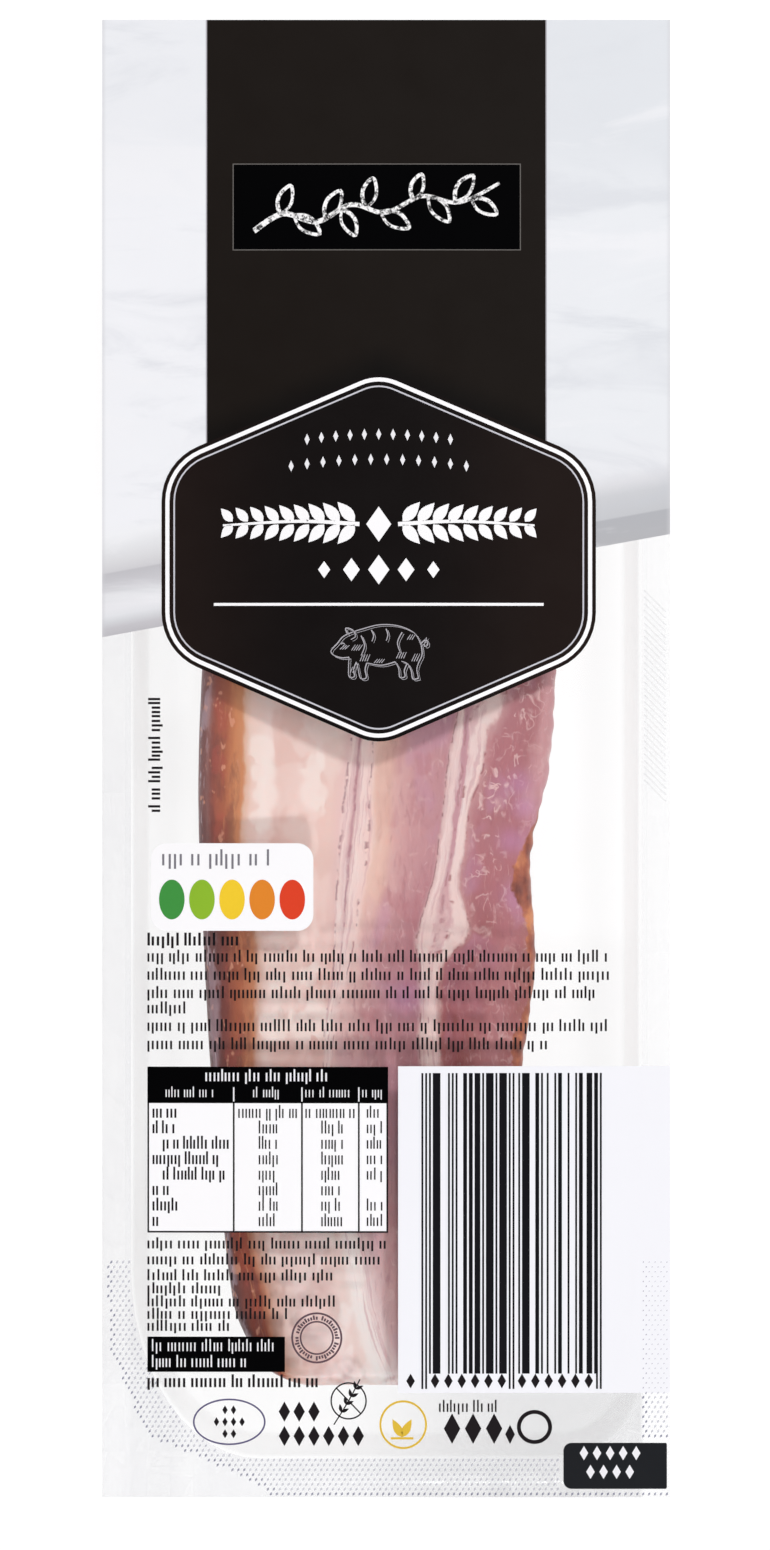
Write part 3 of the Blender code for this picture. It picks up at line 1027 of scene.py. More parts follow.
side_top = CHUNK_BASE + CHUNK_THICK - EDGE_ROUND
meat_side = (plain[:, 2] < side_top) & (depth > 0.97)
rind_side = (plain[:, 2] < side_top - 0.5) & (depth < 0.02)
stored_values = {
    "depth": depth,
    "crust": np.where(meat_side, np.maximum(crust, SIDE_CRUST), crust),
    "skin": rind_side.astype(float),
    "lilac_and_sheen": spotted(LILAC_SHEEN_SPOTS),
    "cream": spotted(CREAM_SPOTS),
}
bacon_piece = add_piece("bacon_piece", chunk, bacon)
for label, values in stored_values.items():
    layer = bacon_piece.data.attributes.new(label, "FLOAT", "POINT")
    layer.data.foreach_set("value", values.astype(np.float32))
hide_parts("bacon_chunk")

# %% [markdown]
# ## The lid film
# The film is drawn tight over the rim and stands up in a shallow crown over the pocket. It
# is a grid of small cells, and the print is cut along the same cells, so that both bend at
# the same lines and the ink never dips through the film.

# %% The film's height and mesh
CELL = 4.0


def film_rise(x, y):
    """How far the crowned film stands above its rim."""
    across = min(1.0, abs(x) / (HALF_WIDTH - SIDE_FLANGE))
    along = min(1.0, abs(y) / (HALF_LENGTH - PRINTED_END_FLANGE))
    return FILM_CROWN * (1 - across**2) ** 1.5 * (1 - along**4) ** 1.5


def film_top(x, y):
    """The height of the film's upper side."""
    return FILM_BASE + FILM_THICK + film_rise(x, y)


film = bmesh.new()
columns, rows = round(2 * HALF_WIDTH / CELL), round(2 * HALF_LENGTH / CELL)
bmesh.ops.create_grid(film, x_segments=columns, y_segments=rows, size=0.5)
bmesh.ops.scale(film, vec=(2 * HALF_WIDTH, 2 * HALF_LENGTH, 1.0), verts=film.verts)
for vert in film.verts:
    vert.co.z = film_top(vert.co.x, vert.co.y)
film_piece = add_piece("film_sheet", film, film_clear)
thicken(film_piece, FILM_THICK)
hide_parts("lid_film")

# %% [markdown]
# ## Drawing flat shapes
# The print is made of flat shapes: plates, rounded plates, rings, strokes and leaves. Each
# helper returns a list of outlines in millimetres. One function then lays a list of outlines
# on the film, cuts large ones along the film's cells, lifts them to their level, and gives
# them the thickness of ink, so each piece is a closed body.


# %% Plates and rounded plates
def plate(left, low, right, high):
    return [[(left, low), (right, low), (right, high), (left, high)]]


def turned(across, up, turn, x=0.0, y=0.0):
    """A place turned about the origin and then moved by (x, y)."""
    cosine, sine = math.cos(turn), math.sin(turn)
    return (x + across * cosine - up * sine, y + across * sine + up * cosine)


def rounded_line(corners, radii, steps=8):
    """A convex outline, anticlockwise, with each corner turned into an arc."""
    count = len(corners)
    points = []
    for index, (corner, radius) in enumerate(zip(corners, radii)):
        here = Vector(corner)
        back = (Vector(corners[index - 1]) - here).normalized()
        ahead = (Vector(corners[(index + 1) % count]) - here).normalized()
        half = back.angle(ahead) / 2
        centre = here + (back + ahead).normalized() * (radius / math.sin(half))
        start = here + back * (radius / math.tan(half)) - centre
        for step in range(steps + 1):
            turn = (math.pi - 2 * half) * step / steps
            points.append(turned(start.x, start.y, turn, centre.x, centre.y))
    return points


def rounded_plate(left, low, right, high, radii):
    return [rounded_line(plate(left, low, right, high)[0], radii)]


print("a rounded plate has", len(rounded_plate(0, 0, 9, 9, [1] * 4)[0]), "points")

# %% Ovals and rings
def oval_line(x, y, across, up, steps=40):
    turns = [math.tau * step / steps for step in range(steps)]
    return [(x + across * math.cos(turn), y + up * math.sin(turn)) for turn in turns]


def band_between(outer, inner):
    """Quads that fill the space between two outlines with equally many points."""
    count = len(outer)
    shapes = []
    for index in range(count):
        following = (index + 1) % count
        shapes.append([outer[index], outer[following], inner[following], inner[index]])
    return shapes


def oval_band(x, y, across, up, width, steps=48):
    inner = oval_line(x, y, across - width, up - width, steps)
    return band_between(oval_line(x, y, across, up, steps), inner)


print("a ring has", len(oval_band(0, 0, 2, 2, 1)), "quads")

# %% Strokes of the pen
def curve_value(a, b, c, d, t):
    """A smooth curve's value on its way from b to c, with a before them and d after."""
    slope = c - a
    bend = 2 * a - 5 * b + 4 * c - d
    swing = 3 * b - a - 3 * c + d
    return 0.5 * (2 * b + slope * t + bend * t * t + swing * t**3)


def smooth_path(points, steps=5):
    """More points on a smooth curve through the given ones."""
    found = []
    last = len(points) - 1
    for index in range(last):
        near = (points[max(index - 1, 0)], points[index], points[index + 1], points[min(index + 2, last)])
        for step in range(steps):
            found.append(tuple(curve_value(*values, step / steps) for values in zip(*near)))
    found.append(tuple(points[-1]))
    return found


def stroke(points, width, end_width=None):
    """Quads along a line, as wide as a pen, which may thin towards its end."""
    final = width if end_width is None else end_width
    sides = []
    last = len(points) - 1
    for index, (x, y) in enumerate(points):
        ahead = points[min(index + 1, last)]
        behind = points[max(index - 1, 0)]
        way = Vector((ahead[0] - behind[0], ahead[1] - behind[1])).normalized()
        half = (width + (final - width) * index / last) / 2
        sides.append(((x - way.y * half, y + way.x * half), (x + way.y * half, y - way.x * half)))
    return [[a[1], b[1], b[0], a[0]] for a, b in zip(sides, sides[1:])]


print("a stroke through three places has", len(stroke(smooth_path(((0, 0), (1, 1), (2, 0))), 1)), "quads")

# %% Leaves and lozenges
def leaf(x, y, turn, length, width, steps=6):
    """A pointed leaf that grows from (x, y)."""
    rim = []
    for side in (1, -1):
        order = range(steps) if side == 1 else range(steps, 0, -1)
        for step in order:
            share = step / steps
            out = side * width / 2 * math.sin(math.pi * share**0.8)
            rim.append(turned(length * share, -out, turn, x, y))
    return [rim]


def lozenge(x, y, width, height):
    return [[(x - width / 2, y), (x, y - height / 2), (x + width / 2, y), (x, y + height / 2)]]


def lozenge_row(x, y, count, step, size):
    """Lozenges of one size, from (x, y) to the right."""
    row = []
    for index in range(count):
        row += lozenge(x + step * index, y, *size)
    return row


def centred_row(x, y, count, step, size):
    """The same with (x, y) in the middle of the row."""
    return lozenge_row(x - step * (count - 1) / 2, y, count, step, size)


print("a leaf has", len(leaf(0, 0, 0, 2, 1)[0]), "points")

# %% Lay shapes on the film as ink
INK_THICK = 0.012
INK_STEP = 0.03
EDGE_MARGIN = 0.05
SAME_PLACE = 1e-4


def cut_to_cells(sheet):
    """Cuts the faces along the film's own cells, so that they can follow its crown."""
    for axis, half in ((0, HALF_WIDTH), (1, HALF_LENGTH)):
        low = min(vert.co[axis] for vert in sheet.verts)
        high = max(vert.co[axis] for vert in sheet.verts)
        normal = [0.0, 0.0, 0.0]
        normal[axis] = 1.0
        step = math.floor((low + half) / CELL) + 1
        while step * CELL - half < high:
            spot = [0.0, 0.0, 0.0]
            spot[axis] = step * CELL - half
            everything = sheet.verts[:] + sheet.edges[:] + sheet.faces[:]
            bmesh.ops.bisect_plane(sheet, geom=everything, dist=SAME_PLACE, plane_co=spot, plane_no=normal)
            step += 1


def print_piece(name, shapes, level, material, cells=True):
    """A closed piece of ink: shapes on the film at one level above it."""
    sheet = bmesh.new()
    for outline in shapes:
        sheet.faces.new([sheet.verts.new((x, y, 0.0)) for x, y in outline])
    bmesh.ops.remove_doubles(sheet, verts=sheet.verts, dist=SAME_PLACE)
    if cells:
        cut_to_cells(sheet)
    bmesh.ops.recalc_face_normals(sheet, faces=sheet.faces)
    top = bmesh.ops.extrude_face_region(sheet, geom=sheet.faces[:], use_keep_orig=True)["geom"]
    lifted = {part for part in top if isinstance(part, bmesh.types.BMVert)}
    for vert in sheet.verts:
        x = min(max(vert.co.x, EDGE_MARGIN - HALF_WIDTH), HALF_WIDTH - EDGE_MARGIN)
        y = min(max(vert.co.y, EDGE_MARGIN - HALF_LENGTH), HALF_LENGTH - EDGE_MARGIN)
        above = INK_STEP * level + (INK_THICK if vert in lifted else 0.0)
        vert.co = (x, y, film_top(x, y) + above)
    bmesh.ops.recalc_face_normals(sheet, faces=sheet.faces)
    return add_piece(name, sheet, material)


# %% [markdown]
# ## Inks
# The pack is printed in few colours: deep blacks, whites, soft greys, and small touches of
# gold, brown and violet here. The marble, the band and the badge, which change over their
# width, get inks of their own further on, and so do the label's coloured ovals.

# %% The inks
panel_black = ink("ink_panel_black", (2, 2, 3), 0.45, 0.08, 0.02)
text_black = ink("ink_text", (24, 18, 22), 0.45)
bar_black = ink("ink_bars", (10, 9, 16), 0.45)
pure_white = ink("ink_white", (250, 250, 252), 0.4, 0.02)
line_white = ink("ink_line_white", (236, 236, 240), 0.4, 0.03)
fine_white = ink("ink_fine_white", (200, 200, 208), 0.4, 0.03)
soft_grey = ink("ink_grey", (122, 120, 128), 0.45)
dim_grey = ink("ink_dim_grey", (100, 97, 94), 0.45)
pale_line = ink("ink_pale_line", (176, 174, 180), 0.45)
gold = ink("ink_gold", (222, 186, 62), 0.35)
stamp_brown = ink("ink_stamp", (98, 74, 82), 0.45)
mark_violet = ink("ink_mark", (92, 86, 122), 0.45)
print(len([material for material in bpy.data.materials if material.name.startswith("ink_")]), "inks")

# %% [markdown]
# ## Marble print
# The upper end shows a pale marble slab. Veins are noise stretched along a slanting
# direction. The slab ends in a straight slanting edge with a grey shadow over it, which is
# softer and wider on the left. The distance above that edge is a sum of the coordinates,
# and a colour ramp over the distance paints the shading.

# %% The marble's shading and veins
SLAB_LEFT = 21.35
SLAB_RIGHT = 39.5
SLAB_SLOPE = (SLAB_RIGHT - SLAB_LEFT) / (2 * HALF_WIDTH)
SHADE_REACH = 20.0
LEFT_SHADES = (
    (0.0, (189, 188, 193)), (1.3, (197, 196, 201)), (2.4, (212, 214, 218)),
    (3.4, (226, 228, 232)), (4.6, (231, 232, 236)), (5.6, (229, 230, 234)),
    (6.7, (218, 220, 224)), (8.4, (203, 203, 208)), (10.9, (192, 192, 197)),
    (11.2, (207, 207, 211)), (13.0, (218, 219, 222)), (15.5, (229, 231, 234)),
    (17.5, (239, 241, 244)), (20.0, (240, 242, 246)),
)
RIGHT_SHADES = (
    (0.0, (179, 180, 184)), (4.4, (178, 180, 185)), (4.7, (196, 198, 202)),
    (8.5, (204, 206, 210)), (10.5, (220, 221, 225)), (12.7, (232, 234, 238)),
    (20.0, (232, 235, 239)),
)
marble, tree, shader = new_material("ink_marble")
across, along, _ = object_axes(tree)
slant = calc(tree, "MULTIPLY_ADD", across, -SLAB_SLOPE, along)
above = calc(tree, "SUBTRACT", slant, (SLAB_LEFT + SLAB_RIGHT) / 2 * MM)
reach = calc(tree, "DIVIDE", above, SHADE_REACH * MM, clamp=True)
left_shade = ramp(tree, reach, by_share(LEFT_SHADES, SHADE_REACH))
right_shade = ramp(tree, reach, by_share(RIGHT_SHADES, SHADE_REACH))
colour = mix_colours(tree, fade(tree, across, -10.0, 10.0), left_shade, right_shade)
print("the slab's edge climbs", round(SLAB_RIGHT - SLAB_LEFT, 2), "mm")

# %% Veins, the far slab and the darker rim
FAR_SLAB = (94.0, 112.0)
DARKER_RIM = (49.1, 50.0)
veins = grain(tree, (26.0, 90.0, 26.0), 5.0, 0.6, -0.5, 0.8)
colour = lay_over(colour, (198, 202, 210), 0.35, remap(tree, veins, 0.5, 0.72))
more_right = fade(tree, across, -60.0, 50.0, 0.25, 0.8)
colour = lay_over(colour, (221, 225, 230), 1.0, fade(tree, along, *FAR_SLAB), more_right)
colour = lay_over(colour, (242, 243, 246), 0.5, remap(tree, veins, 0.46, 0.3))
# Darker along both long edges of the pack.
at_rim = fade(tree, calc(tree, "ABSOLUTE", across), *DARKER_RIM)
colour = lay_over(colour, (206, 207, 211), 0.5, at_rim)
wire_ink(tree, shader, colour, 0.38, 0.02, 0.25)
slab_low = [(-HALF_WIDTH, SLAB_LEFT), (HALF_WIDTH, SLAB_RIGHT)]
slab_high = [(HALF_WIDTH, HALF_LENGTH), (-HALF_WIDTH, HALF_LENGTH)]
print_piece("marble_print", [slab_low + slab_high], 1, marble)

# %% The band, darker where the badge shades it
BADGE_X = -1.3
BADGE_HALF = 38.2
BADGE_UPPER = 52.15
BADGE_LOWER = 18.8
UPPER_SLOPE = 0.426
LOWER_SLOPE = 0.435
BAND_LEFT = -31.5
BAND_RIGHT = 28.05
BAND_LOW = 50.0
EDGE_LINE = 0.22
band_black, tree, shader = new_material("ink_band_black")
across, along, _ = object_axes(tree)
aside = calc(tree, "ABSOLUTE", calc(tree, "SUBTRACT", across, BADGE_X * MM))
above = calc(tree, "MULTIPLY_ADD", aside, UPPER_SLOPE, along)
apex = BADGE_UPPER + UPPER_SLOPE * BADGE_HALF
halo = fade(tree, above, apex + 6.0, apex - 1.5)
colour = lay_over(tone(21, 15, 11), (3, 2, 2), 0.85, halo)
wire_ink(tree, shader, colour, 0.42, 0.1, 0.12)
print_piece("band_print", plate(BAND_LEFT, BAND_LOW, BAND_RIGHT, HALF_LENGTH), 2, band_black)
edge_lines = plate(BAND_LEFT - EDGE_LINE, BAND_LOW, BAND_LEFT, HALF_LENGTH)
edge_lines += plate(BAND_RIGHT, BAND_LOW, BAND_RIGHT + EDGE_LINE, HALF_LENGTH)
print_piece("band_edge_lines", edge_lines, 2, pale_line)

# %% [markdown]
# ## The framed box
# The band carries a deep black box with a hair-thin frame. A vine is drawn in it as if with
# chalk: one long stroke and a row of looped leaves, in a white that noise makes patchy.

# %% The box and its frame
BOX = (-27.0, 89.35, 23.7, 104.65)
FRAME_LINE = 0.18
left, low, right, high = BOX
inner = plate(left + FRAME_LINE, low + FRAME_LINE, right - FRAME_LINE, high - FRAME_LINE)
print_piece("box_field", plate(*BOX), 3, panel_black)
print_piece("box_frame", band_between(plate(*BOX)[0], inner[0]), 4, dim_grey)

# %% The vine
VINE = (
    (-21.6, -4.2), (-16.5, -1.2), (-10.5, -2.6), (-4.5, 0.4), (1.5, -1.0), (8.0, 1.9), (14.5, 0.8),
    (21.6, 4.2),
)
# Each leaf: where it grows from the vine, its turn in degrees and its length.
LEAVES = (
    (-17.0, -1.3, 70, 5.4), (-14.6, -1.5, -35, 5.6), (-9.0, -2.1, 62, 5.6), (-6.2, -0.4, -62, 5.2),
    (-1.8, -0.2, 78, 5.4), (0.6, -0.9, -28, 5.8), (6.4, 1.2, 72, 4.8), (9.0, 1.9, -50, 5.8),
    (13.8, 0.9, 56, 5.6), (16.6, 1.4, -30, 5.2),
)
# The leaf's loop, along it and to its side, in shares of its length.
LOOP = ((0.0, 0.0), (0.3, 0.2), (0.65, 0.22), (1.0, 0.0), (0.7, -0.18), (0.35, -0.2), (0.0, 0.0))


def looped_leaf(x, y, degrees, length):
    """A leaf drawn as one closed pen line."""
    turn = math.radians(degrees)
    return smooth_path([turned(out * length, side * length, turn, x, y) for out, side in LOOP])


chalk, tree, shader = new_material("ink_chalk")
dust = patches(0.36, 0.56, (1500.0, 1500.0, 1500.0), 3.0, 0.7)
colour = mix_colours(tree, dust, tone(40, 40, 42), tone(250, 250, 250))
tree.links.new(colour, shader.inputs["Base Color"])
shader.inputs["Roughness"].default_value = 0.8
box_x, box_y = (left + right) / 2, (low + high) / 2
vine = stroke(smooth_path([(box_x + x, box_y + y) for x, y in VINE], 8), 1.0, 0.6)
for x, y, degrees, length in LEAVES:
    vine += stroke(looped_leaf(box_x + x, box_y + y, degrees, length), 0.75, 0.5)
print_piece("box_vine", vine, 4, chalk, cells=False)

# %% [markdown]
# ## The badge
# A six-sided badge with rounded corners covers the middle of the lid. Its lines follow the
# same outline moved inwards, so one function makes the outline for any inset: every side is
# pushed in, the corners are found again, and the rounds shrink by as much.

# %% The badge's outline
SIDE_ROUND = 10.5
TIP_ROUND = 8.9


def badge_line(inset):
    """The badge's rounded outline, anticlockwise from its lowest corner."""
    half = BADGE_HALF - inset
    upper_drop = inset * math.hypot(1, UPPER_SLOPE)
    lower_drop = inset * math.hypot(1, LOWER_SLOPE)
    top = BADGE_UPPER + UPPER_SLOPE * BADGE_HALF - upper_drop
    bottom = BADGE_LOWER - LOWER_SLOPE * BADGE_HALF + lower_drop
    upper = top - UPPER_SLOPE * half
    lower = bottom + LOWER_SLOPE * half
    corners = (
        (BADGE_X, bottom),
        (BADGE_X + half, lower),
        (BADGE_X + half, upper),
        (BADGE_X, top),
        (BADGE_X - half, upper),
        (BADGE_X - half, lower),
    )
    side, tip = SIDE_ROUND - inset, TIP_ROUND - inset
    return rounded_line(corners, (tip, side, side, tip, side, side))


print("badge from", round(badge_line(0.0)[0][1], 1), "mm upwards")

# %% The badge's field and its lines
SHEEN_X = BADGE_X - 4.0
OUTER_LINE = (0.66, 1.38)
INNER_LINE = (2.08, 2.36)
RULE = (-30.3, 26.85, 27.7, 27.35)
badge_black, tree, shader = new_material("ink_badge_black")
across = object_axes(tree)[0]
aside = calc(tree, "ABSOLUTE", calc(tree, "SUBTRACT", across, SHEEN_X * MM))
# Painted sheen: the badge's black is lighter towards its left and right sides.
colour = mix_colours(tree, fade(tree, aside, 8.0, 38.0), tone(11, 6, 6), tone(27, 17, 14))
wire_ink(tree, shader, colour, 0.4, 0.14, 0.12)
print_piece("badge_field", [badge_line(0.0)], 3, badge_black)
for label, (start, end), white in (("outer", OUTER_LINE, pure_white), ("inner", INNER_LINE, fine_white)):
    outline = band_between(badge_line(start), badge_line(end))
    print_piece("badge_" + label + "_line", outline, 4, white)
print_piece("badge_rule", plate(*RULE), 4, pure_white)

# %% Small marks on two arcs
ARC_MARK = (0.9, 2.0)


def arc_marks(y, half_span, drop, count):
    """Lozenges along a shallow arch over the middle of the badge."""
    marks = []
    for index in range(count):
        share = 2 * index / (count - 1) - 1
        marks += lozenge(BADGE_X + half_span * share, y - drop * share * share, *ARC_MARK)
    return marks


small_marks = arc_marks(57.0, 12.6, 0.9, 11) + arc_marks(52.6, 15.4, 1.2, 12)
print_piece("badge_small_marks", small_marks, 4, line_white, cells=False)

# %% Two sprigs and a row of lozenges
SPRIG_Y = 41.2
STEM = ((3.4, 0.0), (14.0, 0.5), (27.4, -0.2))
LEAF_PAIRS = 9
LEAVES_START = 4.2
LEAVES_SPAN = 21.5
LOZENGES_Y = 33.2
LOZENGES_STEP = 4.8
sprigs = lozenge(BADGE_X, SPRIG_Y, 4.4, 6.2)
for side in (-1, 1):
    stem = smooth_path([(BADGE_X + side * out, SPRIG_Y + up) for out, up in STEM], 8)
    sprigs += stroke(stem, 0.75, 0.35)
    for index in range(LEAF_PAIRS):
        share = index / (LEAF_PAIRS - 1)
        x = BADGE_X + side * (LEAVES_START + LEAVES_SPAN * share)
        length, width = 4.6 - 1.5 * share, 2.15 - 0.5 * share
        for up in (-1, 1):
            turn = math.atan2(up * 0.85, side * 0.75)
            sprigs += leaf(x, SPRIG_Y + 0.2 + up * 0.25, turn, length, width)
print_piece("badge_sprigs", sprigs, 4, pure_white, cells=False)
lower_row = []
for place in range(-2, 3):
    height = 5.2 - 1.1 * abs(place)
    lower_row += lozenge(BADGE_X + LOZENGES_STEP * place, LOZENGES_Y, height * 0.72, height)
print_piece("badge_lozenges", lower_row, 4, pure_white, cells=False)

# %% [markdown]
# ## The little pig
# A pig drawn with a fine pen stands under the rule. Each line is a smooth curve through a
# few places, measured from the middle of the drawing, and thinned towards its end. A finer
# second line and short hatches shade it, as on an engraving.

# %% Pen lines of the pig
PIG_X, PIG_Y = -1.2, 19.0
PIG_LINES = (
    ((-8.3, 0.3), (-7.4, 1.2), (-6.4, 2.4), (-5.0, 3.1), (-3.2, 3.7), (0.0, 4.5), (3.4, 4.3),
     (6.2, 3.0), (7.4, 0.8)),
    ((7.4, 0.8), (7.5, -0.8), (6.9, -2.2), (6.6, -3.4), (6.9, -4.9)),
    ((6.9, -4.9), (5.9, -5.0), (5.6, -3.6), (5.0, -2.4), (3.9, -1.9)),
    ((4.9, -2.3), (4.4, -3.5), (4.5, -4.6), (3.6, -4.7), (3.4, -3.2), (2.8, -2.0)),
    ((2.8, -2.0), (0.4, -2.6), (-2.2, -2.2)),
    ((-2.2, -2.2), (-2.5, -3.4), (-2.3, -4.8), (-3.3, -4.9), (-3.7, -3.4), (-4.0, -2.0)),
    ((-4.0, -2.0), (-4.5, -3.3), (-4.4, -4.6), (-5.3, -4.6), (-5.4, -2.9), (-5.3, -1.2)),
    ((-5.3, -1.2), (-6.6, -1.3), (-7.9, -0.9), (-8.5, -0.3), (-8.3, 0.3)),
    ((-5.6, 2.9), (-5.9, 3.9), (-4.7, 3.6), (-4.2, 2.5), (-5.0, 1.9)),
    ((-6.7, 1.1), (-6.4, 1.3), (-6.1, 1.1)),
    ((-3.2, 2.6), (-2.6, 0.8), (-3.2, -0.9)),
    ((4.0, 3.2), (3.2, 1.4), (3.7, -0.4)),
    ((7.3, 1.2), (8.2, 1.9), (8.5, 1.0), (7.9, 0.8), (8.3, 2.3)),
    ((-1.4, 3.6), (-1.0, 2.6), (-1.3, 1.6)),
    ((1.2, 3.8), (1.5, 2.7), (1.2, 1.7)),
)
# Each group of hatches: the first one's two ends, and how many there are.
HATCHES = (
    ((-6.9, 0.2), (-6.1, 0.9), 3), ((-4.9, 0.0), (-4.2, 1.0), 4), ((-3.4, -1.9), (-2.9, -0.7), 4),
    ((-5.1, -3.9), (-4.7, -2.9), 2), ((3.0, -1.4), (3.5, -0.3), 4), ((5.7, -1.9), (6.3, -0.6), 3),
    ((-0.9, -2.2), (-0.3, -1.5), 4), ((4.9, 1.9), (5.5, 2.8), 3),
)
HATCH_STEP = 0.42
pig = []
for places in PIG_LINES:
    path = smooth_path([(PIG_X + x, PIG_Y + y) for x, y in places], 6)
    pig += stroke(path, 0.22, 0.14)
    pig += stroke([(x + 0.34, y - 0.3) for x, y in path], 0.1, 0.06)
for start, end, count in HATCHES:
    for index in range(count):
        move = HATCH_STEP * index
        pig += stroke([(PIG_X + x + move, PIG_Y + y) for x, y in (start, end)], 0.16, 0.1)
print_piece("badge_pig", pig, 4, pale_line, cells=False)

# %% [markdown]
# ## Small print without words
# Rows of small print are rows of short pen marks in groups, as long as words would be. They
# are drawn from a seeded random source, so that the rows come out the same every time.

# %% Rows of marks
MARK_WIDTH = 0.36


def mark_row(draw, left, right, middle, height, width=MARK_WIDTH, gap=0.42):
    """Upright marks in groups, from left to right, about the middle of the row."""
    marks = []
    x = left
    while x < right - width:
        for _ in range(draw.randint(2, 9)):
            if x > right - width:
                break
            tall = draw.random()
            low = middle - height / 2 - (0.3 * height if tall > 0.9 else 0.0)
            top = middle + height / 2 + (0.42 * height if tall < 0.22 else 0.0)
            marks += plate(x, low, x + width, top)
            x += width + gap * draw.uniform(0.75, 1.25)
        x += gap * 1.7
    return marks


def turned_marks(marks, x, y):
    """The same marks turned a quarter round, to read upwards from (x, y)."""
    return [[(x - my, y + mx) for mx, my in outline] for outline in marks]


# %% Lay down the rows
TEXT_LEFT = -42.0
# Each row: where it ends, and the height of its middle on the pack.
UPPER_ROWS = (
    (39.3, -35.0), (39.3, -38.2), (36.9, -41.4), (-34.0, -44.1), (39.3, -47.2), (28.9, -50.4),
)
LOWER_ROWS = (
    (0.3, -85.5), (0.3, -88.3), (-9.0, -91.1), (-28.6, -93.4), (-8.1, -95.7), (-16.9, -97.9),
    (-27.5, -100.0),
)
draw = random.Random(21)
text_rows = []
for rows, mark_height in ((UPPER_ROWS, 1.5), (LOWER_ROWS, 1.4)):
    for right, middle in rows:
        text_rows += mark_row(draw, TEXT_LEFT, right, middle, mark_height)
side_row = mark_row(draw, 0.0, 20.6, 0.0, 1.5, 0.42, 0.36)
text_rows += turned_marks(side_row, -40.5, -9.4)
print_piece("text_marks", text_rows, 2, text_black, cells=False)
bold_rows = mark_row(draw, TEXT_LEFT, -25.7, -32.1, 1.6, 0.44, 0.38)
bold_rows += mark_row(draw, TEXT_LEFT, -11.8, -109.8, 1.6, 0.42, 0.38)
print_piece("text_bold_marks", bold_rows, 2, text_black, cells=False)

# %% [markdown]
# ## Panels and their marks
# A white panel with a dark head holds the table, a small white label with five coloured
# ovals sits above it, and a tall white panel holds the bars. The white fields lie on the
# first level of ink, what is printed on them on the second, and marks on dark ink higher.

# %% The rounded white label
LABEL = (-41.4, -30.3, -12.8, -14.9)
LABEL_ROUND = 2.8
OVALS = (
    ("green", (64, 146, 66)), ("leaf", (140, 184, 48)), ("yellow", (240, 202, 48)),
    ("orange", (224, 134, 44)), ("red", (220, 66, 38)),
)
OVAL_Y = -24.8
OVAL_STEP = 5.3
print_piece("label_field", rounded_plate(*LABEL, [LABEL_ROUND] * 4), 1, pure_white)
label_marks = mark_row(draw, -39.4, -20.2, -17.8, 2.0, 0.38, 0.62)
print_piece("label_marks", label_marks, 2, soft_grey, cells=False)
for index, (label, colour) in enumerate(OVALS):
    oval = oval_line(LABEL[0] + 3.7 + OVAL_STEP * index, OVAL_Y, 2.25, 3.5)
    print_piece("label_dot_" + label, [oval], 2, ink("ink_" + label, colour), cells=False)


# %% The table's fields and lines
TABLE = (-42.0, -83.4, 0.35, -54.2)
HEAD_LOW = -60.6
COLUMNS = (-26.8, -14.8, -4.8)
TABLE_LINE = 0.3
left, low, right, high = TABLE
print_piece("table_field", plate(*TABLE), 1, pure_white)
print_piece("table_head", plate(left, HEAD_LOW, right, high), 2, panel_black)
lines = plate(left, low, right, low + TABLE_LINE)
lines += plate(left, low + TABLE_LINE, left + TABLE_LINE, HEAD_LOW)
lines += plate(right - TABLE_LINE, low + TABLE_LINE, right, HEAD_LOW)
for x in COLUMNS:
    lines += plate(x - TABLE_LINE / 2, low + TABLE_LINE, x + TABLE_LINE / 2, HEAD_LOW)
print_piece("table_lines", lines, 2, text_black)

# %% The marks in the table's head
HEAD_GROUPS = ((-38.8, -30.2), (-23.4, -18.4), (-14.2, -5.8), (-4.2, -0.6))
head_marks = mark_row(draw, -31.8, -10.0, -56.0, 1.5, 0.3, 0.4)
for start, end in HEAD_GROUPS:
    head_marks += mark_row(draw, start, end, -58.9, 1.3, 0.2, 0.36)
for x in COLUMNS:
    head_marks += plate(x - 0.12, HEAD_LOW + 0.3, x + 0.12, -57.8)
print_piece("table_head_marks", head_marks, 3, line_white, cells=False)

# %% The marks in the table's cells
FIRST_ROW_Y = -62.4
ROW_STEP = 2.72
LABEL_LEFT = -41.1
LABEL_ENDS = (-36.5, -37.0, -27.6, -29.0, -28.2, -38.2, -35.8, -39.3)
INDENTED = (2, 4)
FIRST_CELLS = ((-26.0, -15.6), (-14.2, -5.4))
OTHER_CELLS = ((-22.4, -19.0), (-11.4, -7.6))
EMPTY_LAST = 5
cell_marks = []
label_cells = []
for row, end in enumerate(LABEL_ENDS):
    y = FIRST_ROW_Y - ROW_STEP * row
    indent = 1.8 if row in INDENTED else 0.0
    label_cells += mark_row(draw, LABEL_LEFT + indent, end, y, 1.6, 0.34, 0.3)
    for start, stop in FIRST_CELLS if row == 0 else OTHER_CELLS:
        cell_marks += mark_row(draw, start, stop, y, 1.6, 0.26, 0.34)
    if row != EMPTY_LAST:
        cell_marks += mark_row(draw, -3.4, -0.4, y, 1.5, 0.26, 0.34)
print_piece("table_cell_marks", cell_marks, 2, text_black, cells=False)
print_piece("table_label_marks", label_cells, 2, text_black, cells=False)

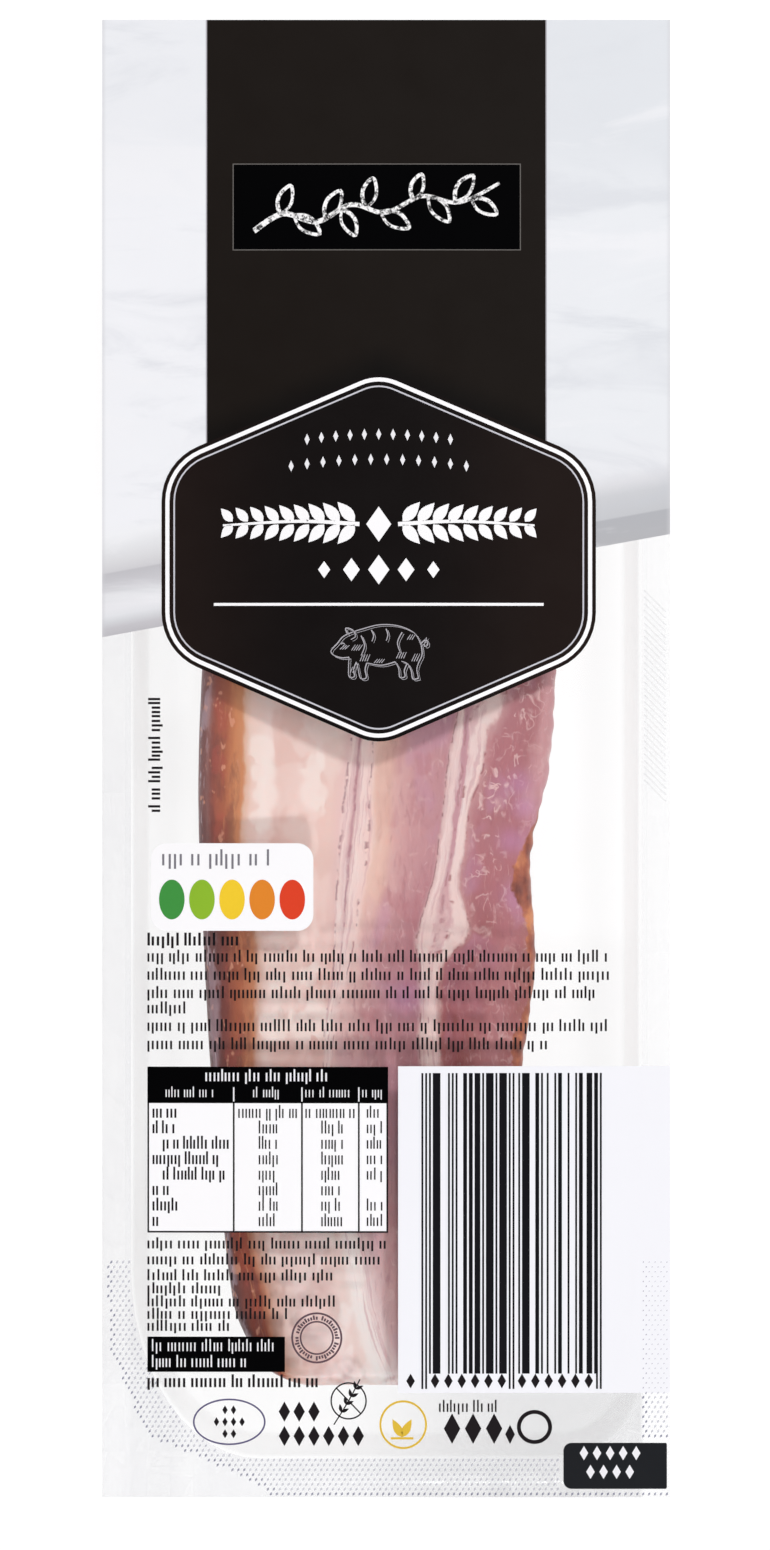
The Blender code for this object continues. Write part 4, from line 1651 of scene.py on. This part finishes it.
# %% The dark box and the ring stamp
DARK_BOX = (-42.0, -107.9, -17.8, -101.7)
STAMP_X, STAMP_Y = -12.2, -101.9
TICKS = 44
print_piece("service_box", plate(*DARK_BOX), 2, panel_black)
service_marks = mark_row(draw, -41.2, -18.6, -103.5, 1.5, 0.24, 0.4)
service_marks += mark_row(draw, -41.2, -23.6, -106.3, 1.5, 0.26, 0.4)
print_piece("service_marks", service_marks, 3, line_white, cells=False)
stamp = oval_band(STAMP_X, STAMP_Y, 4.5, 4.5, 0.34) + oval_band(STAMP_X, STAMP_Y, 3.0, 3.0, 0.3)
for index in range(TICKS):
    if index % 11 == 10:
        continue
    turn = math.tau * index / TICKS
    far_out = 4.0 if index % 3 == 0 else 3.75
    ends = [turned(radius, 0.0, turn, STAMP_X, STAMP_Y) for radius in (3.2, far_out)]
    stamp += stroke(ends, 0.34)
print_piece("ring_stamp", stamp, 2, stamp_brown, cells=False)

# %% [markdown]
# ## The bars
# The bars stand on a white panel. Their widths are whole modules of a third of a millimetre,
# drawn at random with a fixed seed between longer guard bars, as on any grocery pack.

# %% Bars on their panel
PANEL = (2.1, -111.6, 49.95, -54.1)
MODULE = 0.334
BARS_LEFT = 6.2
BARS_HIGH = -55.3
BARS_LOW = -108.2
GUARD_LOW = -110.9
FIGURE_MODULES = 7
FIGURES = 6
GUARD = (0, 1, 1, 1)
CENTRE = (1, 1, 1, 1, 1)
panel_white = ink("ink_panel_white", (242, 243, 248), 0.4, 0.02)
print_piece("bar_panel", plate(*PANEL), 1, panel_white)


def bar_runs(draw):
    """Widths in modules of gap, bar, gap, bar for each figure of one half."""
    runs = []
    for _ in range(FIGURES):
        cuts = sorted(draw.sample(range(1, FIGURE_MODULES), 3))
        runs += [b - a for a, b in zip([0, *cuts], [*cuts, FIGURE_MODULES])]
    return runs


draw_bars = random.Random(4)
halves = [bar_runs(draw_bars), bar_runs(draw_bars)]
groups = (
    (GUARD, GUARD_LOW), (halves[0], BARS_LOW), (CENTRE, GUARD_LOW), (halves[1], BARS_LOW),
    (GUARD, GUARD_LOW),
)
bars = []
x = BARS_LEFT
for runs, low in groups:
    for index, run in enumerate(runs):
        if index % 2 == 1 and run:
            bars += plate(x, low, x + run * MODULE, BARS_HIGH)
        x += run * MODULE
print_piece("bars", bars, 2, bar_black)

# %% A lozenge under each figure of the bars
FIGURE_MARK = (1.5, 2.6)
FIGURES_Y = -109.5
bar_marks = lozenge(4.3, FIGURES_Y, *FIGURE_MARK)
for start in (8.6, 23.9):
    bar_marks += lozenge_row(start, FIGURES_Y, FIGURES, 2.35, FIGURE_MARK)
print_piece("bar_marks", bar_marks, 2, text_black, cells=False)

# %% Oval, lozenges and pen marks along the low end
oval_x, oval_y = -27.6, -116.7
print_piece("oval_mark", oval_band(oval_x, oval_y, 6.4, 4.1, 0.3), 2, mark_violet, cells=False)
LARGE_MARK = (2.0, 3.6)
low_marks = []
for up, count in ((2.1, 2), (0.0, 4), (-2.1, 2)):
    low_marks += centred_row(oval_x, oval_y + up, count, 1.5, (0.95, 1.6))
for y, count in ((-114.9, 3), (-119.2, 6)):
    low_marks += lozenge_row(-17.9, y, count, 2.6, LARGE_MARK)
low_marks += mark_row(draw, 9.3, 19.6, -114.2, 1.5, 0.3, 0.36)
print_piece("low_marks", low_marks, 2, text_black, cells=False)

# %% The sprig and the gold sign
sprig_x, sprig_y = -6.6, -113.0
STALK = ((-2.6, -4.2), (0.0, 0.0), (2.0, 3.8))
sprig = oval_band(sprig_x, sprig_y, 3.2, 3.3, 0.26)
sprig += stroke([(sprig_x - 2.1, sprig_y + 2.2), (sprig_x + 2.1, sprig_y - 2.2)], 0.24)
sprig += stroke(smooth_path([(sprig_x + x, sprig_y + y) for x, y in STALK]), 0.22)
for index in range(4):
    x, y = sprig_x - 1.3 + 0.85 * index, sprig_y - 2.0 + 1.35 * index
    for degrees in (100, 25):
        sprig += leaf(x, y, math.radians(degrees), 1.5, 0.6)
print_piece("sprig_mark", sprig, 2, text_black, cells=False)
gold_x, gold_y = 3.0, -117.2
gold_mark = oval_band(gold_x, gold_y, 4.2, 4.3, 0.36)
for degrees in (62, 118):
    gold_mark += leaf(gold_x - 0.2, gold_y - 2.2, math.radians(degrees), 3.6, 1.5)
gold_mark += stroke([(gold_x - 2.2, gold_y - 2.4), (gold_x + 1.8, gold_y - 2.4)], 0.4)
print_piece("gold_mark", gold_mark, 2, gold, cells=False)

# %% Large lozenges and a ring
quantity = oval_band(26.1, -117.6, 3.1, 3.0, 0.7)
quantity += lozenge_row(11.6, -117.9, 3, 3.7, (2.9, 5.4))
quantity += lozenge(21.8, -118.9, 1.7, 3.4)
print_piece("quantity_marks", quantity, 2, text_black, cells=False)

# %% The peel tab
TAB = (31.2, -128.5, 49.4, -120.4)
TAB_ROUNDS = (1.4, 0.3, 0.3, 1.4)
tab_black = ink("ink_tab", (26, 28, 32))
print_piece("peel_tab", rounded_plate(*TAB, TAB_ROUNDS), 1, tab_black)
tab_marks = []
for y, count in ((-122.2, 5), (-125.5, 4)):
    tab_marks += centred_row(39.4, y, count, 2.3, (1.5, 2.5))
print_piece("tab_marks", tab_marks, 2, line_white, cells=False)

# %% [markdown]
# ## The sealed rim
# A heated tool presses small slanting marks into film and rim along the seal. They show
# best at the peel end. Each is a low pyramid, and all of them are one mesh, made from a
# rule that asks of every place whether it lies on the seal. Those along the outer limit of
# the seal are darker, so they are a mesh of their own.


# %% Where the seal is pressed
SEAL_TOP = -88.0
# The outer limit of the seal at the cut-off corner, from the left edge to the low end.
SEAL_LIMIT = (
    (-49.8, -80.0), (-48.4, -104.4), (-45.8, -110.4), (-42.3, -118.9), (-23.2, -127.2),
    (-20.0, -130.0),
)
LIP_GAP = 0.6
ROUND_TAB = (30.6, -129.0, 49.7, -119.8)
PLAIN_STRIP = (38.0, 45.2)
STRIP_LOW = -127.5


def inside_pocket(x, y, inset):
    """Whether a place lies inside the pocket's line when that is moved in by the inset."""
    right, top, bottom = pocket_limits(inset)
    if abs(x) > right or y > top or y < bottom:
        return False
    for _, centre_x, centre_y, radius_x, radius_y in pocket_corners(inset):
        outward_x = (x - centre_x) * (1 if centre_x > 0 else -1)
        outward_y = (y - centre_y) * (1 if centre_y > 0 else -1)
        if outward_x > 0 and outward_y > 0:
            return (outward_x / radius_x) ** 2 + (outward_y / radius_y) ** 2 <= 1
    return True


def seal_limit(x):
    """The lowest place that the press reaches at this distance across the pack."""
    if x >= SEAL_LIMIT[-1][0]:
        return -HALF_LENGTH
    return float(np.interp(x, *zip(*SEAL_LIMIT)))


def on_seal(x, y):
    """Whether a slanting mark is pressed here, clear of the pocket, the tab and a plain strip."""
    if y > SEAL_TOP or y < seal_limit(x) or inside_pocket(x, y, -LIP_GAP):
        return False
    left, low, right, high = ROUND_TAB
    if left < x < right and low < y < high:
        return False
    return x < PLAIN_STRIP[0] or x > PLAIN_STRIP[1] or y < STRIP_LOW


print("the seal's limit at x -45 is y", round(seal_limit(-45.0), 1))

# %% The shape and finish of one pressed mark
MARK_ACROSS = 1.04
MARK_ALONG = 0.85
MARK_HIGH = 0.08
MARK_LIFT = 0.004


def press_mark(shape, x, y, length, width):
    """One low slanting pyramid with a lozenge for its foot."""
    base = film_top(x, y) + MARK_LIFT
    way = Vector((MARK_ACROSS / 2, MARK_ALONG)).normalized()
    ahead = way * (length / 2)
    aside = Vector((way.y, -way.x)) * (width / 2)
    foot = [shape.verts.new((x + out.x, y + out.y, base)) for out in (-ahead, aside, ahead, -aside)]
    tip = shape.verts.new((x, y, base + MARK_HIGH))
    shape.faces.new(list(reversed(foot)))
    for index in range(4):
        shape.faces.new((foot[index], foot[(index + 1) % 4], tip))


def pressed_plastic(name, colour, alpha):
    """Plastic pressed by a tool: one colour and one alpha all over. Its grey is partly the plastic that
    the tool dulls and partly painted shade of the pressed relief.
    """
    material, tree, shader = new_material(name)
    ripple = use_group(tree, plastic_ripple, {"Depth": 0.1})
    tree.links.new(ripple.outputs["Normal"], shader.inputs["Normal"])
    shader.inputs["Base Color"].default_value = tone(*colour)
    shader.inputs["Roughness"].default_value = 0.25
    shader.inputs["Alpha"].default_value = alpha
    return material


# The marks' grey is partly dulled plastic and partly painted shade of their relief; those on the outer
# limit are darker still.
seal_plastic = pressed_plastic("seal_plastic", (190, 192, 208), 0.36)
edge_plastic = pressed_plastic("seal_edge_plastic", (124, 126, 158), 0.5)
print("pressed finishes", seal_plastic.name, "and", edge_plastic.name)

# %% Press the marks along the seal
MARK_SIZE = (0.78, 0.42)
LIMIT_STEP = 0.9
EDGE_KEPT = 0.6
pressed = bmesh.new()
edge_pressed = bmesh.new()
row = 0
y = EDGE_KEPT - HALF_LENGTH
while y < SEAL_TOP:
    x = EDGE_KEPT - HALF_WIDTH + (MARK_ACROSS / 2) * (row % 2)
    while x < HALF_WIDTH - EDGE_KEPT:
        if on_seal(x, y):
            outermost = not on_seal(x - LIMIT_STEP, y - LIMIT_STEP)
            press_mark(edge_pressed if outermost else pressed, x, y, *MARK_SIZE)
        x += MARK_ACROSS
    y += MARK_ALONG
    row += 1
add_piece("seal_marks", pressed, seal_plastic)
add_piece("seal_edge_marks", edge_pressed, edge_plastic)

# %% The melted band and its faint ribs
RIB_COUNT = 30
RIB_TOP = 28.0
RIB_STEP = 1.15
band_finish, tree, shader = new_material("seal_band")
melted = remap(tree, grain(tree, (160.0, 40.0, 160.0), 3.0), 0.35, 0.65, 0.12, 0.18)
tree.links.new(melted, shader.inputs["Alpha"])
# Painted shade: the band is greyer towards the left side of the pack.
shade_fades_rightward = fade(tree, object_axes(tree)[0], -20.0, 30.0)
colour = mix_colours(tree, shade_fades_rightward, tone(232, 233, 238), tone(250, 250, 252))
tree.links.new(colour, shader.inputs["Base Color"])
shader.inputs["Roughness"].default_value = 0.3
rim_line = [(x * 0.999, y * 0.9995) for x, y in square_line()]
print_piece("seal_band", band_between(rim_line, pocket_line(-0.4)), 0, band_finish)
ribs = []
for index in range(RIB_COUNT):
    y = RIB_TOP - RIB_STEP * index
    ribs += stroke([(45.4, y + 1.6), (49.2, y - 2.2)], 0.28)
rib_plastic = pressed_plastic("rib_plastic", (216, 217, 222), 0.1)
print_piece("seal_ribs", ribs, 1, rib_plastic, cells=False)

# %% [markdown]
# ## Studio
# The photograph looks straight down, with soft light from both ends of the pack: the badge
# throws a soft shadow on the meat towards the peel end, and the label one the other way.
# Two weaker and wider lights stand at the sides. The floor is white and brightens itself
# with emission, as a lit backdrop does.

# %% Floor and world
FLOOR_HALF = 3.0
FLOOR_GAP = 0.2
FLOOR_GLOW = 0.93
WORLD_COLOUR = (1.0, 0.91, 0.92, 1.0)
WORLD_STRENGTH = 0.35
floor_material, tree, shader = new_material("floor_white")
cloudy = patches(0.3, 0.7, (6.0, 6.0, 6.0), 2.0)
colour = mix_colours(tree, cloudy, tone(98, 98, 100), tone(104, 104, 106))
tree.links.new(colour, shader.inputs["Base Color"])
shader.inputs["Roughness"].default_value = 0.6
shader.inputs["Emission Color"].default_value = (1.0, 1.0, 1.0, 1.0)
shader.inputs["Emission Strength"].default_value = FLOOR_GLOW
floor_shape = bmesh.new()
bmesh.ops.create_grid(floor_shape, x_segments=4, y_segments=4, size=FLOOR_HALF)
floor_mesh = bpy.data.meshes.new("floor")
floor_shape.to_mesh(floor_mesh)
floor_shape.free()
floor_mesh.materials.append(floor_material)
floor = bpy.data.objects.new("floor", floor_mesh)
floor.location.z = -FLOOR_GAP * MM
bpy.context.scene.collection.objects.link(floor)
world = bpy.data.worlds.new("studio")
world.use_nodes = True
background = world.node_tree.nodes["Background"]
background.inputs["Color"].default_value = WORLD_COLOUR
background.inputs["Strength"].default_value = WORLD_STRENGTH
bpy.context.scene.world = world
print("floor", 2 * FLOOR_HALF, "m wide, world strength", WORLD_STRENGTH)

# %% Soft lights
COOL = (0.94, 1.0, 1.0)
WARM = (1.03, 0.92, 0.92)


def soft_light(name, place, size, power, colour):
    """A round light of this width in metres, aimed at the pack."""
    lamp = bpy.data.lights.new(name, "AREA")
    lamp.shape = "DISK"
    lamp.size = size
    lamp.energy = power
    lamp.color = colour
    holder = bpy.data.objects.new(name, lamp)
    holder.location = place
    holder.rotation_euler = (-holder.location).to_track_quat("-Z", "Y").to_euler()
    bpy.context.scene.collection.objects.link(holder)
    print(name, power, "W")


soft_light("light_far_end", (0.35, 0.58, 0.86), 0.15, 4.5, COOL)
soft_light("light_peel_end", (0.05, -0.74, 0.86), 0.15, 4.2, COOL)
soft_light("light_left", (-0.85, 0.0, 0.85), 0.6, 1.6, WARM)
soft_light("light_right", (0.85, 0.05, 0.85), 0.6, 1.8, WARM)

# %% Camera
LENS = 150.0
SENSOR = 36.0
SEEN_LENGTH = 272.6
VIEW_X, VIEW_Y = -0.2, -2.9
view_height = FILM_BASE + FILM_CROWN / 2 + SEEN_LENGTH * LENS / SENSOR
camera_data = bpy.data.cameras.new("camera")
camera_data.sensor_width = SENSOR
camera_data.lens = LENS
camera_data.clip_start = 0.01
camera = bpy.data.objects.new("camera", camera_data)
camera.location = (VIEW_X * MM, VIEW_Y * MM, view_height * MM)
bpy.context.scene.collection.objects.link(camera)
bpy.context.scene.camera = camera
bpy.context.scene.view_settings.view_transform = "Standard"
print("camera at", [round(value, 3) for value in camera.location])
